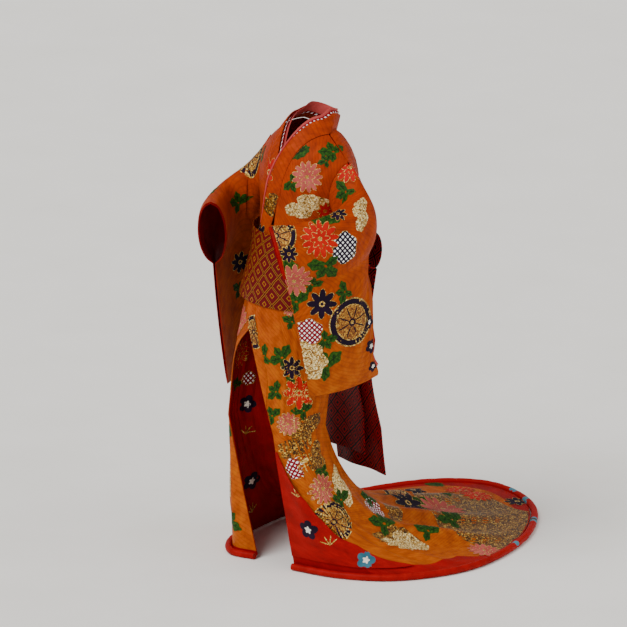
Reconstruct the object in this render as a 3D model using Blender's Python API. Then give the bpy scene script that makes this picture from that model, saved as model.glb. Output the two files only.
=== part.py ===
"""A worn trailing kimono with its obi: hollow, open below the waist, the train spread on the floor.

Sizes are in metres. The wearer would face -Y, with the left side at +X. Every form is first worked out with the feet
at (0, 0, 0), and then moved so that the origin is where the shoulders hold the garment.
"""
import math

import bmesh
import bpy
from mathutils import Vector

# Driving sizes
HELD_AT = Vector((0.0, 0.13, 1.24))     # where the shoulders carry the garment, seen from the feet
WALL = 0.0022                           # cloth and its backing
GAP = 0.0004                            # between pieces that touch
LAP = 0.008                             # how far the lapped fronts stand off the body's own line
SHOULDER_HALF = 0.178
NECK_HALF = 0.089
NECK_HEIGHT = 1.30
SHOULDER_SLOPE = 0.72
BACK_NECK_DROP = 0.42                   # how far down the rounding of the shoulder the back neckline dips
COLLAR_THICK = 0.0036
EDGE_THICK, EDGE_CLEAR = 0.0012, 0.0006     # the thin strips sewn inside the sleeves' openings
CUFF_DOWN = 0.15                        # the wrist opening's share of the way round a sleeve, each way from the top
FURI_SHOWS = 0.035                      # how far each strip shows past the one outside it, along the sleeve
FURI_FROM, FURI_TO = 0.26, 0.48         # down the outer sheet
HEM_RADIUS = 0.0105
SIDE_RIGHT, BACK_CENTRE, SIDE_LEFT = 0.24, 0.48, 0.72

# Horizontal sections of the body, top to bottom. Angles are in degrees round from the right side's front seam:
# 270 is the right side, 360 the back, 450 the left side. seam is where the left front's edge meets its collar,
# lap the angle that the collar band adds, and right the same seam on the right front.
CHEST, KNEE, HEM = 1.0, 6.0, 7.0
LEVELS = (
    # height, centre_y, half_width, half_depth, seam, lap, right, lap_right
    (1.120, 0.120, 0.170, 0.130, 526.0, 19.0, 194.0, 19.0),
    (1.020, 0.108, 0.160, 0.115, 539.0, 19.0, 181.0, 19.0),
    (0.920, 0.085, 0.148, 0.106, 553.0, 19.0, 168.0, 18.0),
    (0.780, 0.058, 0.163, 0.118, 541.0, 15.0, 182.0, 15.0),
    (0.600, 0.026, 0.166, 0.118, 516.0, 12.0, 238.0, 10.0),
    (0.420, 0.000, 0.165, 0.116, 489.0, 11.0, 247.0, 9.0),
)

# The hem on the floor, from the right front's corner round the train to the left front's corner.
HEM_LINE = (
    # s, x, y
    (0.00, -0.045, -0.030),
    (0.06, -0.125, -0.050),
    (0.13, -0.215, 0.035),
    (0.24, -0.310, 0.270),
    (0.33, -0.345, 0.520),
    (0.41, -0.300, 0.790),
    (0.48, -0.170, 0.920),
    (0.56, 0.055, 0.885),
    (0.64, 0.260, 0.710),
    (0.72, 0.385, 0.490),
    (0.79, 0.415, 0.320),
    (0.86, 0.365, 0.150),
    (0.93, 0.250, 0.045),
    (1.00, 0.105, -0.010),
)

# The skirt's largest folds, each a soft ridge that grows towards the hem.
FOLDS = (
    # s, half_width, depth_at_knee, depth_at_hem
    (0.05, 0.016, 0.012, 0.014),
    (0.11, 0.014, 0.012, 0.016),
    (0.18, 0.020, 0.012, 0.020),
    (0.27, 0.018, 0.016, 0.028),
    (0.35, 0.022, 0.014, 0.034),
    (0.43, 0.016, 0.018, 0.024),
    (0.50, 0.022, 0.014, 0.036),
    (0.58, 0.018, 0.018, 0.028),
    (0.65, 0.020, 0.013, 0.034),
    (0.755, 0.014, 0.016, 0.022),
    (0.81, 0.018, 0.014, 0.018),
    (0.87, 0.016, 0.014, 0.010),
    (0.94, 0.016, 0.014, 0.008),
)

# The sleeves, from the body (along 0) to the wrist (along 1). facing is the way the outer sheet looks, in degrees
# from straight out towards the front; arm and bag are half thicknesses at the arm and in the hanging part.
SLEEVE_LEFT = (
    # along, top_x, top_y, top_z, low_x, low_y, low_z, facing, arm, bag
    (-0.30, 0.186, 0.150, 1.222, 0.250, 0.232, 0.592, -6.0, 0.050, 0.038),
    (0.00, 0.186, 0.130, 1.222, 0.258, 0.168, 0.588, -6.0, 0.050, 0.038),
    (0.30, 0.236, 0.116, 1.165, 0.268, 0.108, 0.579, -14.0, 0.052, 0.030),
    (0.62, 0.262, 0.020, 1.115, 0.274, 0.030, 0.573, 6.0, 0.052, 0.022),
    (0.86, 0.218, -0.095, 1.090, 0.270, -0.045, 0.573, 20.0, 0.048, 0.012),
    (1.00, 0.168, -0.155, 1.082, 0.264, -0.085, 0.576, 31.0, 0.046, 0.0036),
)
SLEEVE_RIGHT = (
    # along, top_x, top_y, top_z, low_x, low_y, low_z, facing, arm, bag
    (-0.30, -0.186, 0.150, 1.222, -0.262, 0.220, 0.526, -6.0, 0.050, 0.030),
    (0.00, -0.186, 0.130, 1.222, -0.262, 0.165, 0.520, -6.0, 0.050, 0.030),
    (0.30, -0.226, 0.092, 1.145, -0.262, 0.108, 0.508, -16.0, 0.044, 0.026),
    (0.62, -0.244, 0.004, 1.085, -0.246, 0.050, 0.497, 16.0, 0.042, 0.020),
    (0.86, -0.175, -0.095, 1.078, -0.218, 0.010, 0.490, 40.0, 0.044, 0.010),
    (1.00, -0.112, -0.150, 1.086, -0.200, -0.020, 0.488, 52.0, 0.042, 0.0036),
)
ARMHOLE_LOW = 1.70                      # the level where the armhole ends
ARMHOLE_HALF = 0.075                    # its half width, as a share of the way round
ARM_CLEAR = 0.30                        # along the sleeve, where the arm is clear of the body
ARM_TURN, ARM_TURNED = 80.0, 0.55       # degrees the arm's part turns towards the armhole, and from where
ARMHOLE_CLEAR = 0.0034                  # the sleeve's edge bridges the panels' curve, so it lies a little off them
FURI_PARTED = 0.22                      # how far the two sheets part at the open body side, along the sleeve
SLEEVE_SEWN = 0.33                      # the share of the sleeve's depth that is sewn to the body
SLEEVE_STEPS = (0.0, 0.02, 0.05, 0.085, 0.125, 0.148, 0.165, 0.185, 0.22, 0.27, 0.34, 0.41, 0.47, 0.492)
SLEEVE_RINGS = (0.0, 0.15, 0.30, 0.44, 0.58, 0.70, 0.82, 0.92, 0.985)

# The collar and the two inner collars: where each lies between two shares of the collar's width, and between
# two moves off the fronts' faces.
COLLAR_BANDS = (
    # name, low_level, start, end, inner, outer, finish
    ("collar", 5.6, 0.0, 1.0, -0.0008, COLLAR_THICK - 0.0008, "collar"),
    ("collar_dotted", 2.5, 0.40, 1.17, -0.0062, -0.0044, "lining"),
    ("collar_pink", 2.5, 0.60, 1.34, -0.0110, -0.0092, "pink"),
)
NAPE = (0.0, 0.018, 0.046)              # from the neckline to the collar's free edge, at the nape
NECK_SIDE = (0.030, 0.004, 0.038)       # and at the sides of the neck, its first length turned inwards

OBI_TOP, OBI_LOW, OBI_THICK = 0.990, 0.790, 0.004
OBI_CLEAR = LAP + COLLAR_THICK + 0.0008   # off the body's line, just over the lapped collar
LOOP_HALF = (0.135, 0.030, 0.055)       # the knot's half length, depth and height
LOOP_HEIGHT = 0.930
KNOT_X = 0.02                           # the knot sits a little to the wearer's left
END_WIDTH, END_THICK = 0.235, 0.003
END_SEAT = 0.0008                       # from the knot's rounded underside to the hanging ends
END_RIPPLE, END_BEND = 0.004, 0.030     # how far the ends wave across, and how far they bend in to the skirt
OBI_ENDS = (
    # name, x, behind, low, sway
    ("obi_end_long", 0.050, 0.0060, 0.245, 0.030),
    ("obi_end_short", -0.005, -0.0058, 0.300, 0.008),
)

ROWS_TOP = (0.0, 0.22, 0.46, 0.72)
ROWS_BODY = (1.0, 1.5, 2.0, 2.5, 3.0, 3.45, 3.9, 4.35, 4.8, 5.2, 5.6, 6.0)
ROWS_SKIRT = (6.12, 6.26, 6.40, 6.52, 6.63, 6.73, 6.82, 6.91, 7.0)
ROWS = ROWS_TOP + ROWS_BODY + ROWS_SKIRT
LINING_FROM = 3.45
COLLAR_NARROWS, COLLAR_ENDS = 5.0, 5.7   # where the collar runs out to nothing on the fronts' edges
TOP_ROW = 0.012                         # just under the shoulder line, so that fronts and backs stay apart
SEAM_HALF = 0.0002                      # half a seam's gap
TURNED_FROM = 6.12
TURNED_WIDTH = 0.21
TURNED_LIFT = 0.006
TURNED_TO = 6.92                        # clear of the hem roll

COLOURS = {
    "silk": (0.58, 0.10, 0.008), "collar": (0.50, 0.07, 0.006), "lining": (0.45, 0.003, 0.006),
    "pink": (0.68, 0.22, 0.22), "obi": (0.30, 0.002, 0.008),
}


def clear_scene():
    for thing in list(bpy.data.objects):
        bpy.data.objects.remove(thing)


def make_materials():
    made = {}
    for name, colour in COLOURS.items():
        material = bpy.data.materials.new(name)
        material.use_nodes = True
        shader = material.node_tree.nodes["Principled BSDF"]
        shader.inputs["Base Color"].default_value = (*colour, 1.0)
        shader.inputs["Roughness"].default_value = 0.55
        shader.inputs["Metallic"].default_value = 0.0
        made[name] = material
    return made


def smoothstep(low, high, value):
    share = min(1.0, max(0.0, (value - low) / (high - low)))
    return share * share * (3.0 - 2.0 * share)


def mix(first, second, share):
    return first + (second - first) * share


def curve_through(rows, where):
    """Reads a smooth curve through a table whose first column says where each row lies."""
    last = len(rows) - 1
    where = min(max(where, rows[0][0]), rows[last][0])
    i = 0
    while i < last - 1 and rows[i + 1][0] <= where:
        i += 1
    before, start, end, after = rows[max(i - 1, 0)], rows[i], rows[i + 1], rows[min(i + 2, last)]
    span = end[0] - start[0]
    t = (where - start[0]) / span
    values = []
    for c in range(1, len(start)):
        slope_in = (end[c] - before[c]) / (end[0] - before[0]) * span
        slope_out = (after[c] - start[c]) / (after[0] - start[0]) * span
        rise = end[c] - start[c]
        curve = slope_in * (t - 2 * t ** 2 + t ** 3) + slope_out * (t ** 3 - t ** 2)
        values.append(start[c] + curve + rise * (3 * t ** 2 - 2 * t ** 3))
    return values


LEVEL_ROWS = tuple((CHEST + i, *row) for i, row in enumerate(LEVELS))
RIDGE_SEAM = 510.0
RIDGE_LAP = 11.5
EVEN_SPREAD = 2.0                       # metres to one whole way round, where the folds have their full depth
FOLDS_FROM = 3.6


def edge_angles(v):
    """Gives the two front seams and the collar's share beyond each, at a level."""
    seam, lap, right, lap_right = curve_through(LEVEL_ROWS, max(v, CHEST))[4:]
    ended = smoothstep(COLLAR_NARROWS, COLLAR_ENDS, v)
    seam, right = seam + lap * ended, right - lap_right * ended
    lap, lap_right = lap * (1.0 - ended), lap_right * (1.0 - ended)
    if v < CHEST:
        share = smoothstep(0.0, 1.0, 1.0 - v) * 0.5 + (1.0 - v) * 0.5
        seam, right = mix(seam, RIDGE_SEAM, share), mix(right, 720.0 - RIDGE_SEAM, share)
        lap, lap_right = mix(lap, RIDGE_LAP, share), mix(lap_right, RIDGE_LAP, share)
    return right, lap_right, seam, lap


def angle_at(s, v):
    """Turns the share of the way round into an angle. Below 0 and above 1 lie the collar bands."""
    right, lap_right, seam, lap = edge_angles(v)
    if s < 0.0:
        return right + s * lap_right
    if s > 1.0:
        return seam + (s - 1.0) * lap
    stops = ((0.0, right), (SIDE_RIGHT, 270.0), (BACK_CENTRE, 360.0), (SIDE_LEFT, 450.0), (1.0, seam))
    return curve_through(stops, s)[0]


def ring_point(angle, v, out=0.0):
    """A point of the plain body ring, seen from the feet."""
    height, centre_y, half_width, half_depth = curve_through(LEVEL_ROWS, max(v, CHEST))[:4]
    turn = math.radians(angle)
    x = (half_width + out) * math.sin(turn)
    y = centre_y + (half_depth + out) * math.cos(turn)
    if v >= CHEST:
        return Vector((x, y, height))
    rise = math.radians(90.0 * (1.0 - v))
    ridge_x = (SHOULDER_HALF + out) * math.sin(turn)
    ridge_y = HELD_AT.y
    ridge_z = NECK_HEIGHT + out - SHOULDER_SLOPE * max(0.0, abs(ridge_x) - 0.07)
    share = 1.0 - v
    centre = mix(centre_y, ridge_y, share)
    return Vector((mix(x, ridge_x, share), centre + (y - centre_y) * math.cos(rise),
                   mix(height, ridge_z, math.sin(rise))))


def lap_offset(s, v):
    """The left front lies over the right one, so the two stand apart where they cross."""
    fade = smoothstep(0.0, 0.6, v) * (1.0 - smoothstep(4.2, 5.2, v))
    return LAP * fade * (smoothstep(SIDE_LEFT, 0.86, s) - (1.0 - smoothstep(0.14, SIDE_RIGHT, s)))


def fold_height(s, share):
    """The folds' height at a place round the robe, where share runs from 0 at the knee to 1 at the hem."""
    total = 0.0
    for place, half_width, at_knee, at_hem in FOLDS:
        away = (s - place) / half_width
        total += mix(at_knee, at_hem, share) * math.exp(-away * away)
    return total


def plain_point(s, v):
    """The robe's outer face without its folds: a stack of rings, then curves that fall and run out on the floor."""
    if v <= KNEE:
        return ring_point(angle_at(s, v), v, lap_offset(s, v))
    knee = ring_point(angle_at(s, KNEE), KNEE)
    hem = Vector((*curve_through(HEM_LINE, s), HEM_RADIUS))
    reach = hem - knee
    reach.z = 0.0
    flowing = smoothstep(0.05, 0.60, reach.length)
    down = knee + reach * mix(0.33, 0.07, flowing)
    down.z = mix(0.66, 0.52, flowing) * knee.z
    touch = knee + reach * mix(0.66, 0.26, flowing)
    touch.z = mix(0.35 * knee.z, 0.020, flowing)
    t = v - KNEE
    return knee * (1 - t) ** 3 + down * (3 * t * (1 - t) ** 2) + touch * (3 * t ** 2 * (1 - t)) + hem * t ** 3


def body_point(s, v):
    """The outer face of the whole robe: s runs round it from edge to edge, v from the shoulder to the hem."""
    point = plain_point(s, v)
    if v < FOLDS_FROM:
        return point
    inside = min(max(s, 0.0), 1.0)
    low, high = max(inside - 0.004, 0.0), min(inside + 0.004, 1.0)
    along = (plain_point(high, v) - plain_point(low, v)) / (high - low)
    t = max(0.0, v - KNEE)
    lift = fold_height(s, t) * min(1.0, along.length / EVEN_SPREAD)
    lift *= smoothstep(FOLDS_FROM, KNEE, v) * (1.0 - smoothstep(0.75, 1.0, t))
    turn = math.radians(angle_at(s, min(v, KNEE)))
    outward = Vector((math.sin(turn), math.cos(turn), 0.0))
    lying = smoothstep(0.30, 0.85, t) * smoothstep(0.45, 0.10, point.z / LEVELS[-1][0])
    return point + outward.lerp(Vector((0.0, 0.0, 1.0)), lying).normalized() * lift


def face_normal(surface, u, v, step=0.004):
    along = surface(u + step, v) - surface(u - step, v)
    down = surface(u, min(v + step, HEM)) - surface(u, max(v - step, 0.0))
    return along.cross(down).normalized()


def add_solid(name, points, faces, material):
    mesh = bpy.data.meshes.new(name)
    mesh.from_pydata([p - HELD_AT for p in points], [], faces)
    mesh.materials.append(material)
    shape = bmesh.new()
    shape.from_mesh(mesh)
    bmesh.ops.recalc_face_normals(shape, faces=shape.faces)
    shape.to_mesh(mesh)
    shape.free()
    mesh.shade_smooth()
    mesh.set_sharp_from_angle(angle=math.radians(50))
    made = bpy.data.objects.new(name, mesh)
    bpy.context.scene.collection.objects.link(made)
    return made


def wall_faces(rows, columns):
    """Triangles of a wall: its outer grid, its inner grid and the rim between them."""
    size = rows * columns
    faces = []
    for j in range(rows - 1):
        for i in range(columns - 1):
            a, b, c, d = j * columns + i, j * columns + i + 1, (j + 1) * columns + i + 1, (j + 1) * columns + i
            faces += [(a, d, c), (a, c, b), (a + size, c + size, d + size), (a + size, b + size, c + size)]
    rim = list(range(columns)) + [j * columns + columns - 1 for j in range(1, rows)]
    rim += [(rows - 1) * columns + i for i in range(columns - 2, -1, -1)]
    rim += [j * columns for j in range(rows - 2, 0, -1)]
    for a, b in zip(rim, rim[1:] + rim[:1]):
        faces += [(a, b, b + size), (a, b + size, a + size)]
    return faces


def add_wall(name, surface, rows, columns, inner, outer, material):
    """rows is a list of v; columns(v) gives the list of s at that v; inner and outer are moves off the surface."""
    outside, inside = [], []
    count = 0
    for v in rows:
        places = columns(v)
        count = len(places)
        for s in places:
            normal = face_normal(surface, s, v)
            point = surface(s, v)
            outside.append(point + normal * outer)
            inside.append(point + normal * inner)
    add_solid(name, outside + inside, wall_faces(len(rows), count), material)


def spaced(first, last, count):
    return [mix(first, last, i / (count - 1)) for i in range(count)]


def armhole(v):
    """How far each panel's edge keeps from the side seam, to leave the armhole open."""
    if v >= ARMHOLE_LOW:
        return 0.0
    return ARMHOLE_HALF * math.sin(math.pi * min(1.0, (v + 0.04) / (ARMHOLE_LOW + 0.04))) ** 0.7


def okumi_seam(v):
    return mix(1.0, 0.885, smoothstep(1.2, 5.0, v))


def neck_top(s):
    """The level where a back panel begins: 0 on the shoulder, lower across the neck."""
    x = SHOULDER_HALF * math.sin(math.radians(angle_at(s, 0.0)))
    return BACK_NECK_DROP * max(0.0, 1.0 - (x / NECK_HALF) ** 2)


def back_surface(s, v):
    """The body's surface with the levels above the chest pressed down under the back neckline."""
    if v >= CHEST:
        return body_point(s, v)
    top = neck_top(min(max(s, SIDE_RIGHT), SIDE_LEFT))
    return body_point(s, mix(top, CHEST, v))


def seam_share(s, v):
    """Half a seam's gap as a share of the way round, at a place on the robe."""
    return SEAM_HALF * 0.002 / (body_point(s + 0.001, v) - body_point(s - 0.001, v)).length


def back_left(v):
    side = SIDE_LEFT - seam_share(SIDE_LEFT, v) - 0.85 * armhole(v)
    return spaced(BACK_CENTRE + seam_share(BACK_CENTRE, v), side, 13)


def back_right(v):
    return [2 * BACK_CENTRE - s for s in reversed(back_left(v))]


def front_left(v):
    side = SIDE_LEFT + seam_share(SIDE_LEFT, v) + 0.85 * armhole(v)
    return spaced(side, okumi_seam(v) - seam_share(okumi_seam(v) - 0.01, v), 12)


def front_right(v):
    seam = 1.0 - okumi_seam(v)
    side = SIDE_RIGHT - seam_share(SIDE_RIGHT, v) - 0.85 * armhole(v)
    return spaced(seam + seam_share(seam + 0.01, v), side, 9)


def okumi_left(v):
    return spaced(okumi_seam(v) + seam_share(okumi_seam(v), v), 1.0, 7)


def okumi_right(v):
    seam = 1.0 - okumi_seam(v)
    return spaced(0.0, seam - seam_share(seam, v), 7)


def add_panels(materials):
    all_rows = [max(v, TOP_ROW) for v in ROWS]
    low_rows = [v for v in ROWS if v >= 2.0]
    lined = [v for v in ROWS if v >= LINING_FROM]
    panels = (
        ("back_left", back_surface, all_rows, back_left), ("back_right", back_surface, all_rows, back_right),
        ("front_left", body_point, all_rows, front_left), ("front_right", body_point, all_rows, front_right),
        ("okumi_left", body_point, low_rows, okumi_left), ("okumi_right", body_point, low_rows, okumi_right),
    )
    for name, surface, rows, columns in panels:
        add_wall(name, surface, rows, columns, 0.0, WALL, materials["silk"])
        add_wall("lining_" + name, surface, lined, columns, -GAP - WALL, -GAP, materials["lining"])


def turned_surface(s, v):
    """The turned-out corner: flush at its fold, and then lying loosely over the panels."""
    lay = WALL + GAP + TURNED_LIFT * smoothstep(1.0, 0.95, s) * smoothstep(HEM + 0.02, 6.8, v)
    return body_point(s, v) + face_normal(body_point, s, v) * lay


def add_turnback(material):
    def columns(v):
        share = (v - TURNED_FROM + 0.1) / (HEM - TURNED_FROM + 0.1)
        return spaced(1.0 - TURNED_WIDTH * share ** 1.3, 1.0, 14)

    add_wall("turnback", turned_surface, ROWS_SKIRT[:-1] + (TURNED_TO,), columns, 0.0, WALL, material)


def swept_faces(stations, corners, closed):
    faces = []
    for k in range(stations if closed else stations - 1):
        a, b = k * corners, (k + 1) % stations * corners
        for i in range(corners):
            j = (i + 1) % corners
            if 2 * i < corners:
                faces += [(a + i, a + j, b + j), (a + i, b + j, b + i)]
            else:
                faces += [(a + i, a + j, b + i), (a + j, b + j, b + i)]
    if not closed:
        last = (stations - 1) * corners
        for i in range(1, corners - 1):
            faces += [(0, i + 1, i), (last, last + i, last + i + 1)]
    return faces


def collar_stations(low_level):
    """Base point and direction to the free edge, up the left front, round the neck and down the right front."""
    nape = Vector(NAPE)
    inward, back_by, rise = NECK_SIDE
    rows = [max(v, TOP_ROW) for v in ROWS if v <= low_level]
    stations = []

    def front(side, v):
        s0, s1 = (1.0, 2.0) if side > 0 else (0.0, -1.0)
        standing = smoothstep(0.0, 0.95, 1.0 - v)
        base = body_point(s0, v)
        flat = body_point(s1, v) - base
        across = flat.lerp(Vector((-inward * side, back_by, rise)), standing)
        stations.append((base + face_normal(body_point, s0, v) * (WALL + GAP) * standing, across))

    def back(s):
        base = back_surface(s, TOP_ROW)
        x = base.x / NECK_HALF
        across = Vector((-inward * x, back_by, rise)).lerp(nape, 1.0 - x * x)
        stations.append((base + face_normal(back_surface, s, TOP_ROW) * (WALL + GAP), across))

    for v in reversed(rows):
        front(1, v)
    left = [s for s in back_left(TOP_ROW)[1:] if back_surface(s, TOP_ROW).x < NECK_HALF - 0.002]
    for s in left[::-1] + [BACK_CENTRE] + [2 * BACK_CENTRE - s for s in left]:
        back(s)
    for v in rows:
        front(-1, v)
    return stations


def add_collar(name, low_level, start, end, inner, outer, material):
    """A band between two shares of the collar's width, lying between two moves off the body's face."""
    stations = collar_stations(low_level)
    points = []
    for k, (base, across) in enumerate(stations):
        along = stations[min(k + 1, len(stations) - 1)][0] - stations[max(k - 1, 0)][0]
        out = along.cross(across).normalized()
        near = base + across.normalized() * (GAP * 2) + across * start
        far = base + across * end
        points += [near + out * inner, far + out * inner, far + out * outer, near + out * outer]
    add_solid(name, points, swept_faces(len(stations), 4, False), material)


def sleeve_point(table, side, u, k, inset=0.0):
    """k runs from 0 to 1 down the outer sheet and up the inner one; inset moves the point into the wall."""
    h = 2.0 * k if k <= 0.5 else 2.0 - 2.0 * k
    sheet = 1.0 if k <= 0.5 else -1.0
    parted = smoothstep(SLEEVE_SEWN, 0.62, h) * smoothstep(1.0, 0.85, h)
    place = u + sheet * FURI_PARTED * (1.0 - u) ** 2 * parted
    tx, ty, tz, lx, ly, lz, facing, arm, bag = curve_through(table, place)
    top, low = Vector((tx, ty, tz - inset)), Vector((lx, ly, lz + inset))
    round_arm = smoothstep(ARM_TURNED, 0.0, u) * smoothstep(0.36, 0.20, h)
    turn = math.radians(facing - ARM_TURN * round_arm)
    out = Vector((side * math.cos(turn), -math.sin(turn), 0.0))
    arm_part = arm * math.sqrt(max(0.0, 1.0 - ((h - 0.17) / 0.17) ** 2)) if h < 0.34 else 0.0
    bag_part = bag * max(0.0, 1.0 - abs(2.0 * h - 1.0) ** 5) ** 0.5
    thick = (arm_part ** 4 + bag_part ** 4) ** 0.25
    thick = max(thick - inset, 0.0)
    bow = 0.012 * math.sin(math.pi * h) * side
    return top.lerp(low, h) + out * thick * sheet + Vector((bow, 0.0, 0.0))


def armhole_point(side, k):
    """A point of the sleeve's sewn edge, which lies on the panels just outside the armhole."""
    h = 2.0 * k if k <= 0.5 else 2.0 - 2.0 * k
    share = min(1.0, h / SLEEVE_SEWN)
    turned = 1.0 if k <= 0.5 else -1.0
    width = max(ARMHOLE_HALF * math.sin(math.pi * share) ** 0.7 if 0.0 < share < 1.0 else 0.0, 0.012 * share)
    s = (SIDE_LEFT if side > 0 else SIDE_RIGHT) - side * turned * width
    v = mix(TOP_ROW, ARMHOLE_LOW, share)
    return body_point(s, v) + face_normal(body_point, s, v) * (WALL + ARMHOLE_CLEAR)


def sleeve_surface(table, side, u, k, inset=0.0):
    """The sleeve with its upper part carried over to the armhole."""
    point = sleeve_point(table, side, u, k, inset)
    if u >= ARM_CLEAR:
        return point
    h = 2.0 * k if k <= 0.5 else 2.0 - 2.0 * k
    sewn = 1.0 - smoothstep(SLEEVE_SEWN, SLEEVE_SEWN + 0.25, h)
    free = sleeve_point(table, side, ARM_CLEAR, k, inset)
    return point.lerp(armhole_point(side, k).lerp(free, u / ARM_CLEAR), sewn)


def sleeve_inside(table, side, u, k, depth):
    """A point at a depth under the sleeve's face: square to it at the arm, straight across the thin hanging bag."""
    h = 2.0 * k if k <= 0.5 else 2.0 - 2.0 * k
    step = 0.004
    along = sleeve_surface(table, side, min(u + step, 1.0), k) - sleeve_surface(table, side, u - step, k)
    down = sleeve_surface(table, side, u, (k + step) % 1.0) - sleeve_surface(table, side, u, (k - step) % 1.0)
    square = sleeve_surface(table, side, u, k) + down.cross(along).normalized() * depth * side
    return sleeve_surface(table, side, u, k, depth).lerp(square, smoothstep(0.75, 0.55, h))


def tube_faces(rings, corners):
    size = rings * corners
    faces = []
    for r in range(rings - 1):
        for i in range(corners):
            j = (i + 1) % corners
            a, b, c, d = r * corners + i, r * corners + j, (r + 1) * corners + j, (r + 1) * corners + i
            faces += [(a, b, c), (a, c, d), (a + size, c + size, b + size), (a + size, d + size, c + size)]
    for r, flip in ((0, False), (rings - 1, True)):
        for i in range(corners):
            a, b = r * corners + i, r * corners + (i + 1) % corners
            pair = [(a, b + size, b), (a, a + size, b + size)]
            faces += [f[::-1] for f in pair] if flip else pair
    return faces


def add_sleeve(name, table, side, material):
    steps = list(SLEEVE_STEPS) + [1.0 - k for k in reversed(SLEEVE_STEPS[1:])]
    outside, inside = [], []
    for u in SLEEVE_RINGS:
        outside += [sleeve_surface(table, side, u, k) for k in steps]
        inside += [sleeve_inside(table, side, u, k, WALL) for k in steps]
    add_solid(name, outside + inside, tube_faces(len(SLEEVE_RINGS), len(steps)), material)


def add_sleeve_edge(name, table, side, places, steps, depth, material):
    """A thin strip sewn inside one of the sleeve's openings, at a depth under its outer face."""
    outside, inside = [], []
    for k in steps:
        for u in places:
            outside.append(sleeve_inside(table, side, u, k % 1.0, depth))
            inside.append(sleeve_inside(table, side, u, k % 1.0, depth + EDGE_THICK))
    add_solid(name, outside + inside, wall_faces(len(steps), len(places)), material)


def add_sleeve_edges(end, table, side, materials):
    cuff = [k for k in SLEEVE_STEPS if k <= CUFF_DOWN]
    add_sleeve_edge("cuff_band_" + end, table, side, (0.92, SLEEVE_RINGS[-1], 1.0),
                    [-k for k in reversed(cuff[1:])] + cuff, WALL + EDGE_CLEAR, materials["lining"])
    furi = [k for k in SLEEVE_STEPS if FURI_FROM <= k <= FURI_TO]
    for layer, order in enumerate(("outer", "inner")):
        add_sleeve_edge("furi_" + order + "_" + end, table, side, (-FURI_SHOWS * (layer + 1), 0.0, SLEEVE_RINGS[1]),
                        furi, WALL + EDGE_CLEAR + layer * (EDGE_THICK + EDGE_CLEAR), materials["pink"])


def add_hem_roll(material):
    corners = 7
    places = [okumi_right(HEM), front_right(HEM), back_right(HEM), back_left(HEM), front_left(HEM), okumi_left(HEM)]
    line = [places[0][0]] + [s for panel in places for s in panel[1:]]
    points = []
    for s in line:
        ahead = body_point(min(s + 0.004, 1.0), HEM) - body_point(max(s - 0.004, 0.0), HEM)
        outward = Vector((-ahead.y, ahead.x, 0.0)).normalized()
        centre = body_point(s, HEM) + outward * (HEM_RADIUS + WALL + GAP)
        for i in range(corners):
            turn = 2.0 * math.pi * i / corners
            points.append(centre + (outward * math.cos(turn) + Vector((0, 0, 1)) * math.sin(turn)) * HEM_RADIUS)
    add_solid("hem_roll", points, swept_faces(len(line), corners, False), material)


def add_obi(material):
    columns, heights = 48, (OBI_TOP, 0.96, 0.90, 0.85, OBI_LOW)
    outside, inside = [], []
    for height in heights:
        v = level_of(height)
        for i in range(columns):
            angle = 360.0 * i / columns
            inside.append(ring_point(angle, v, OBI_CLEAR))
            outside.append(ring_point(angle, v, OBI_CLEAR + OBI_THICK))
    add_solid("obi_band", outside + inside, tube_faces(len(heights), columns), material)


def level_of(height):
    low, high = CHEST, KNEE
    for _ in range(40):
        middle = (low + high) / 2
        if curve_through(LEVEL_ROWS, middle)[0] > height:
            low = middle
        else:
            high = middle
    return low


def loop_pinch(x):
    """How far the knot's middle is drawn in, as a share of its height and depth."""
    return 1.0 - 0.22 * math.exp(-((x - KNOT_X) / 0.045) ** 2)


def add_obi_knot(material):
    length, depth, tall = LOOP_HALF
    centre_y = 0.0
    for share in spaced(-1.0, 1.0, 21):
        height = LOOP_HEIGHT + share * tall
        back = ring_point(360.0, level_of(height), OBI_CLEAR + OBI_THICK).y
        centre_y = max(centre_y, back + depth * math.sqrt(1.0 - share * share))
    corners, stations = 24, 15
    outside, inside = [], []
    for x in spaced(KNOT_X - length, KNOT_X + length, stations):
        for i in range(corners):
            turn = 2.0 * math.pi * i / corners
            side = Vector((0.0, math.cos(turn) * depth, math.sin(turn) * tall * loop_pinch(x)))
            centre = Vector((x, centre_y, LOOP_HEIGHT))
            outside.append(centre + side)
            inside.append(centre + side * (1.0 - END_THICK / side.length))
    add_solid("obi_loop", outside + inside, tube_faces(stations, corners), material)
    for name, x, behind, low, sway in OBI_ENDS:
        add_obi_end(name, x, centre_y, behind, low, sway, material)


def add_obi_end(name, x, centre_y, behind, low, sway, material):
    """A hanging end: it starts under the knot, falls close to the skirt and swings out towards the train."""
    depth, tall = LOOP_HALF[1:]
    curved = math.sqrt(1.0 - (behind / depth) ** 2)

    def surface(u, v):
        share = v / HEM
        across = x + (u - 0.5) * END_WIDTH * (0.92 + 0.08 * share)
        top = LOOP_HEIGHT - tall * loop_pinch(across) * curved - END_SEAT
        ripple = END_RIPPLE * share * math.cos(2.0 * math.pi * u * 1.5)
        bend = -END_BEND * math.sin(math.pi * min(1.0, share * 1.3)) + sway * share ** 3
        return Vector((across, centre_y + behind + bend + ripple, mix(top, low, share)))

    add_wall(name, surface, spaced(0.0, HEM, 11), lambda v: spaced(0.0, 1.0, 9), 0.0, END_THICK, material)


def main():
    clear_scene()
    materials = make_materials()
    add_panels(materials)
    add_turnback(materials["lining"])
    for name, low_level, start, end, inner, outer, finish in COLLAR_BANDS:
        add_collar(name, low_level, start, end, inner, outer, materials[finish])
    for name, table, side in (("left", SLEEVE_LEFT, 1), ("right", SLEEVE_RIGHT, -1)):
        add_sleeve("sleeve_" + name, table, side, materials["silk"])
        add_sleeve_edges(name, table, side, materials)
    add_hem_roll(materials["lining"])
    add_obi(materials["obi"])
    add_obi_knot(materials["obi"])


main()
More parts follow.
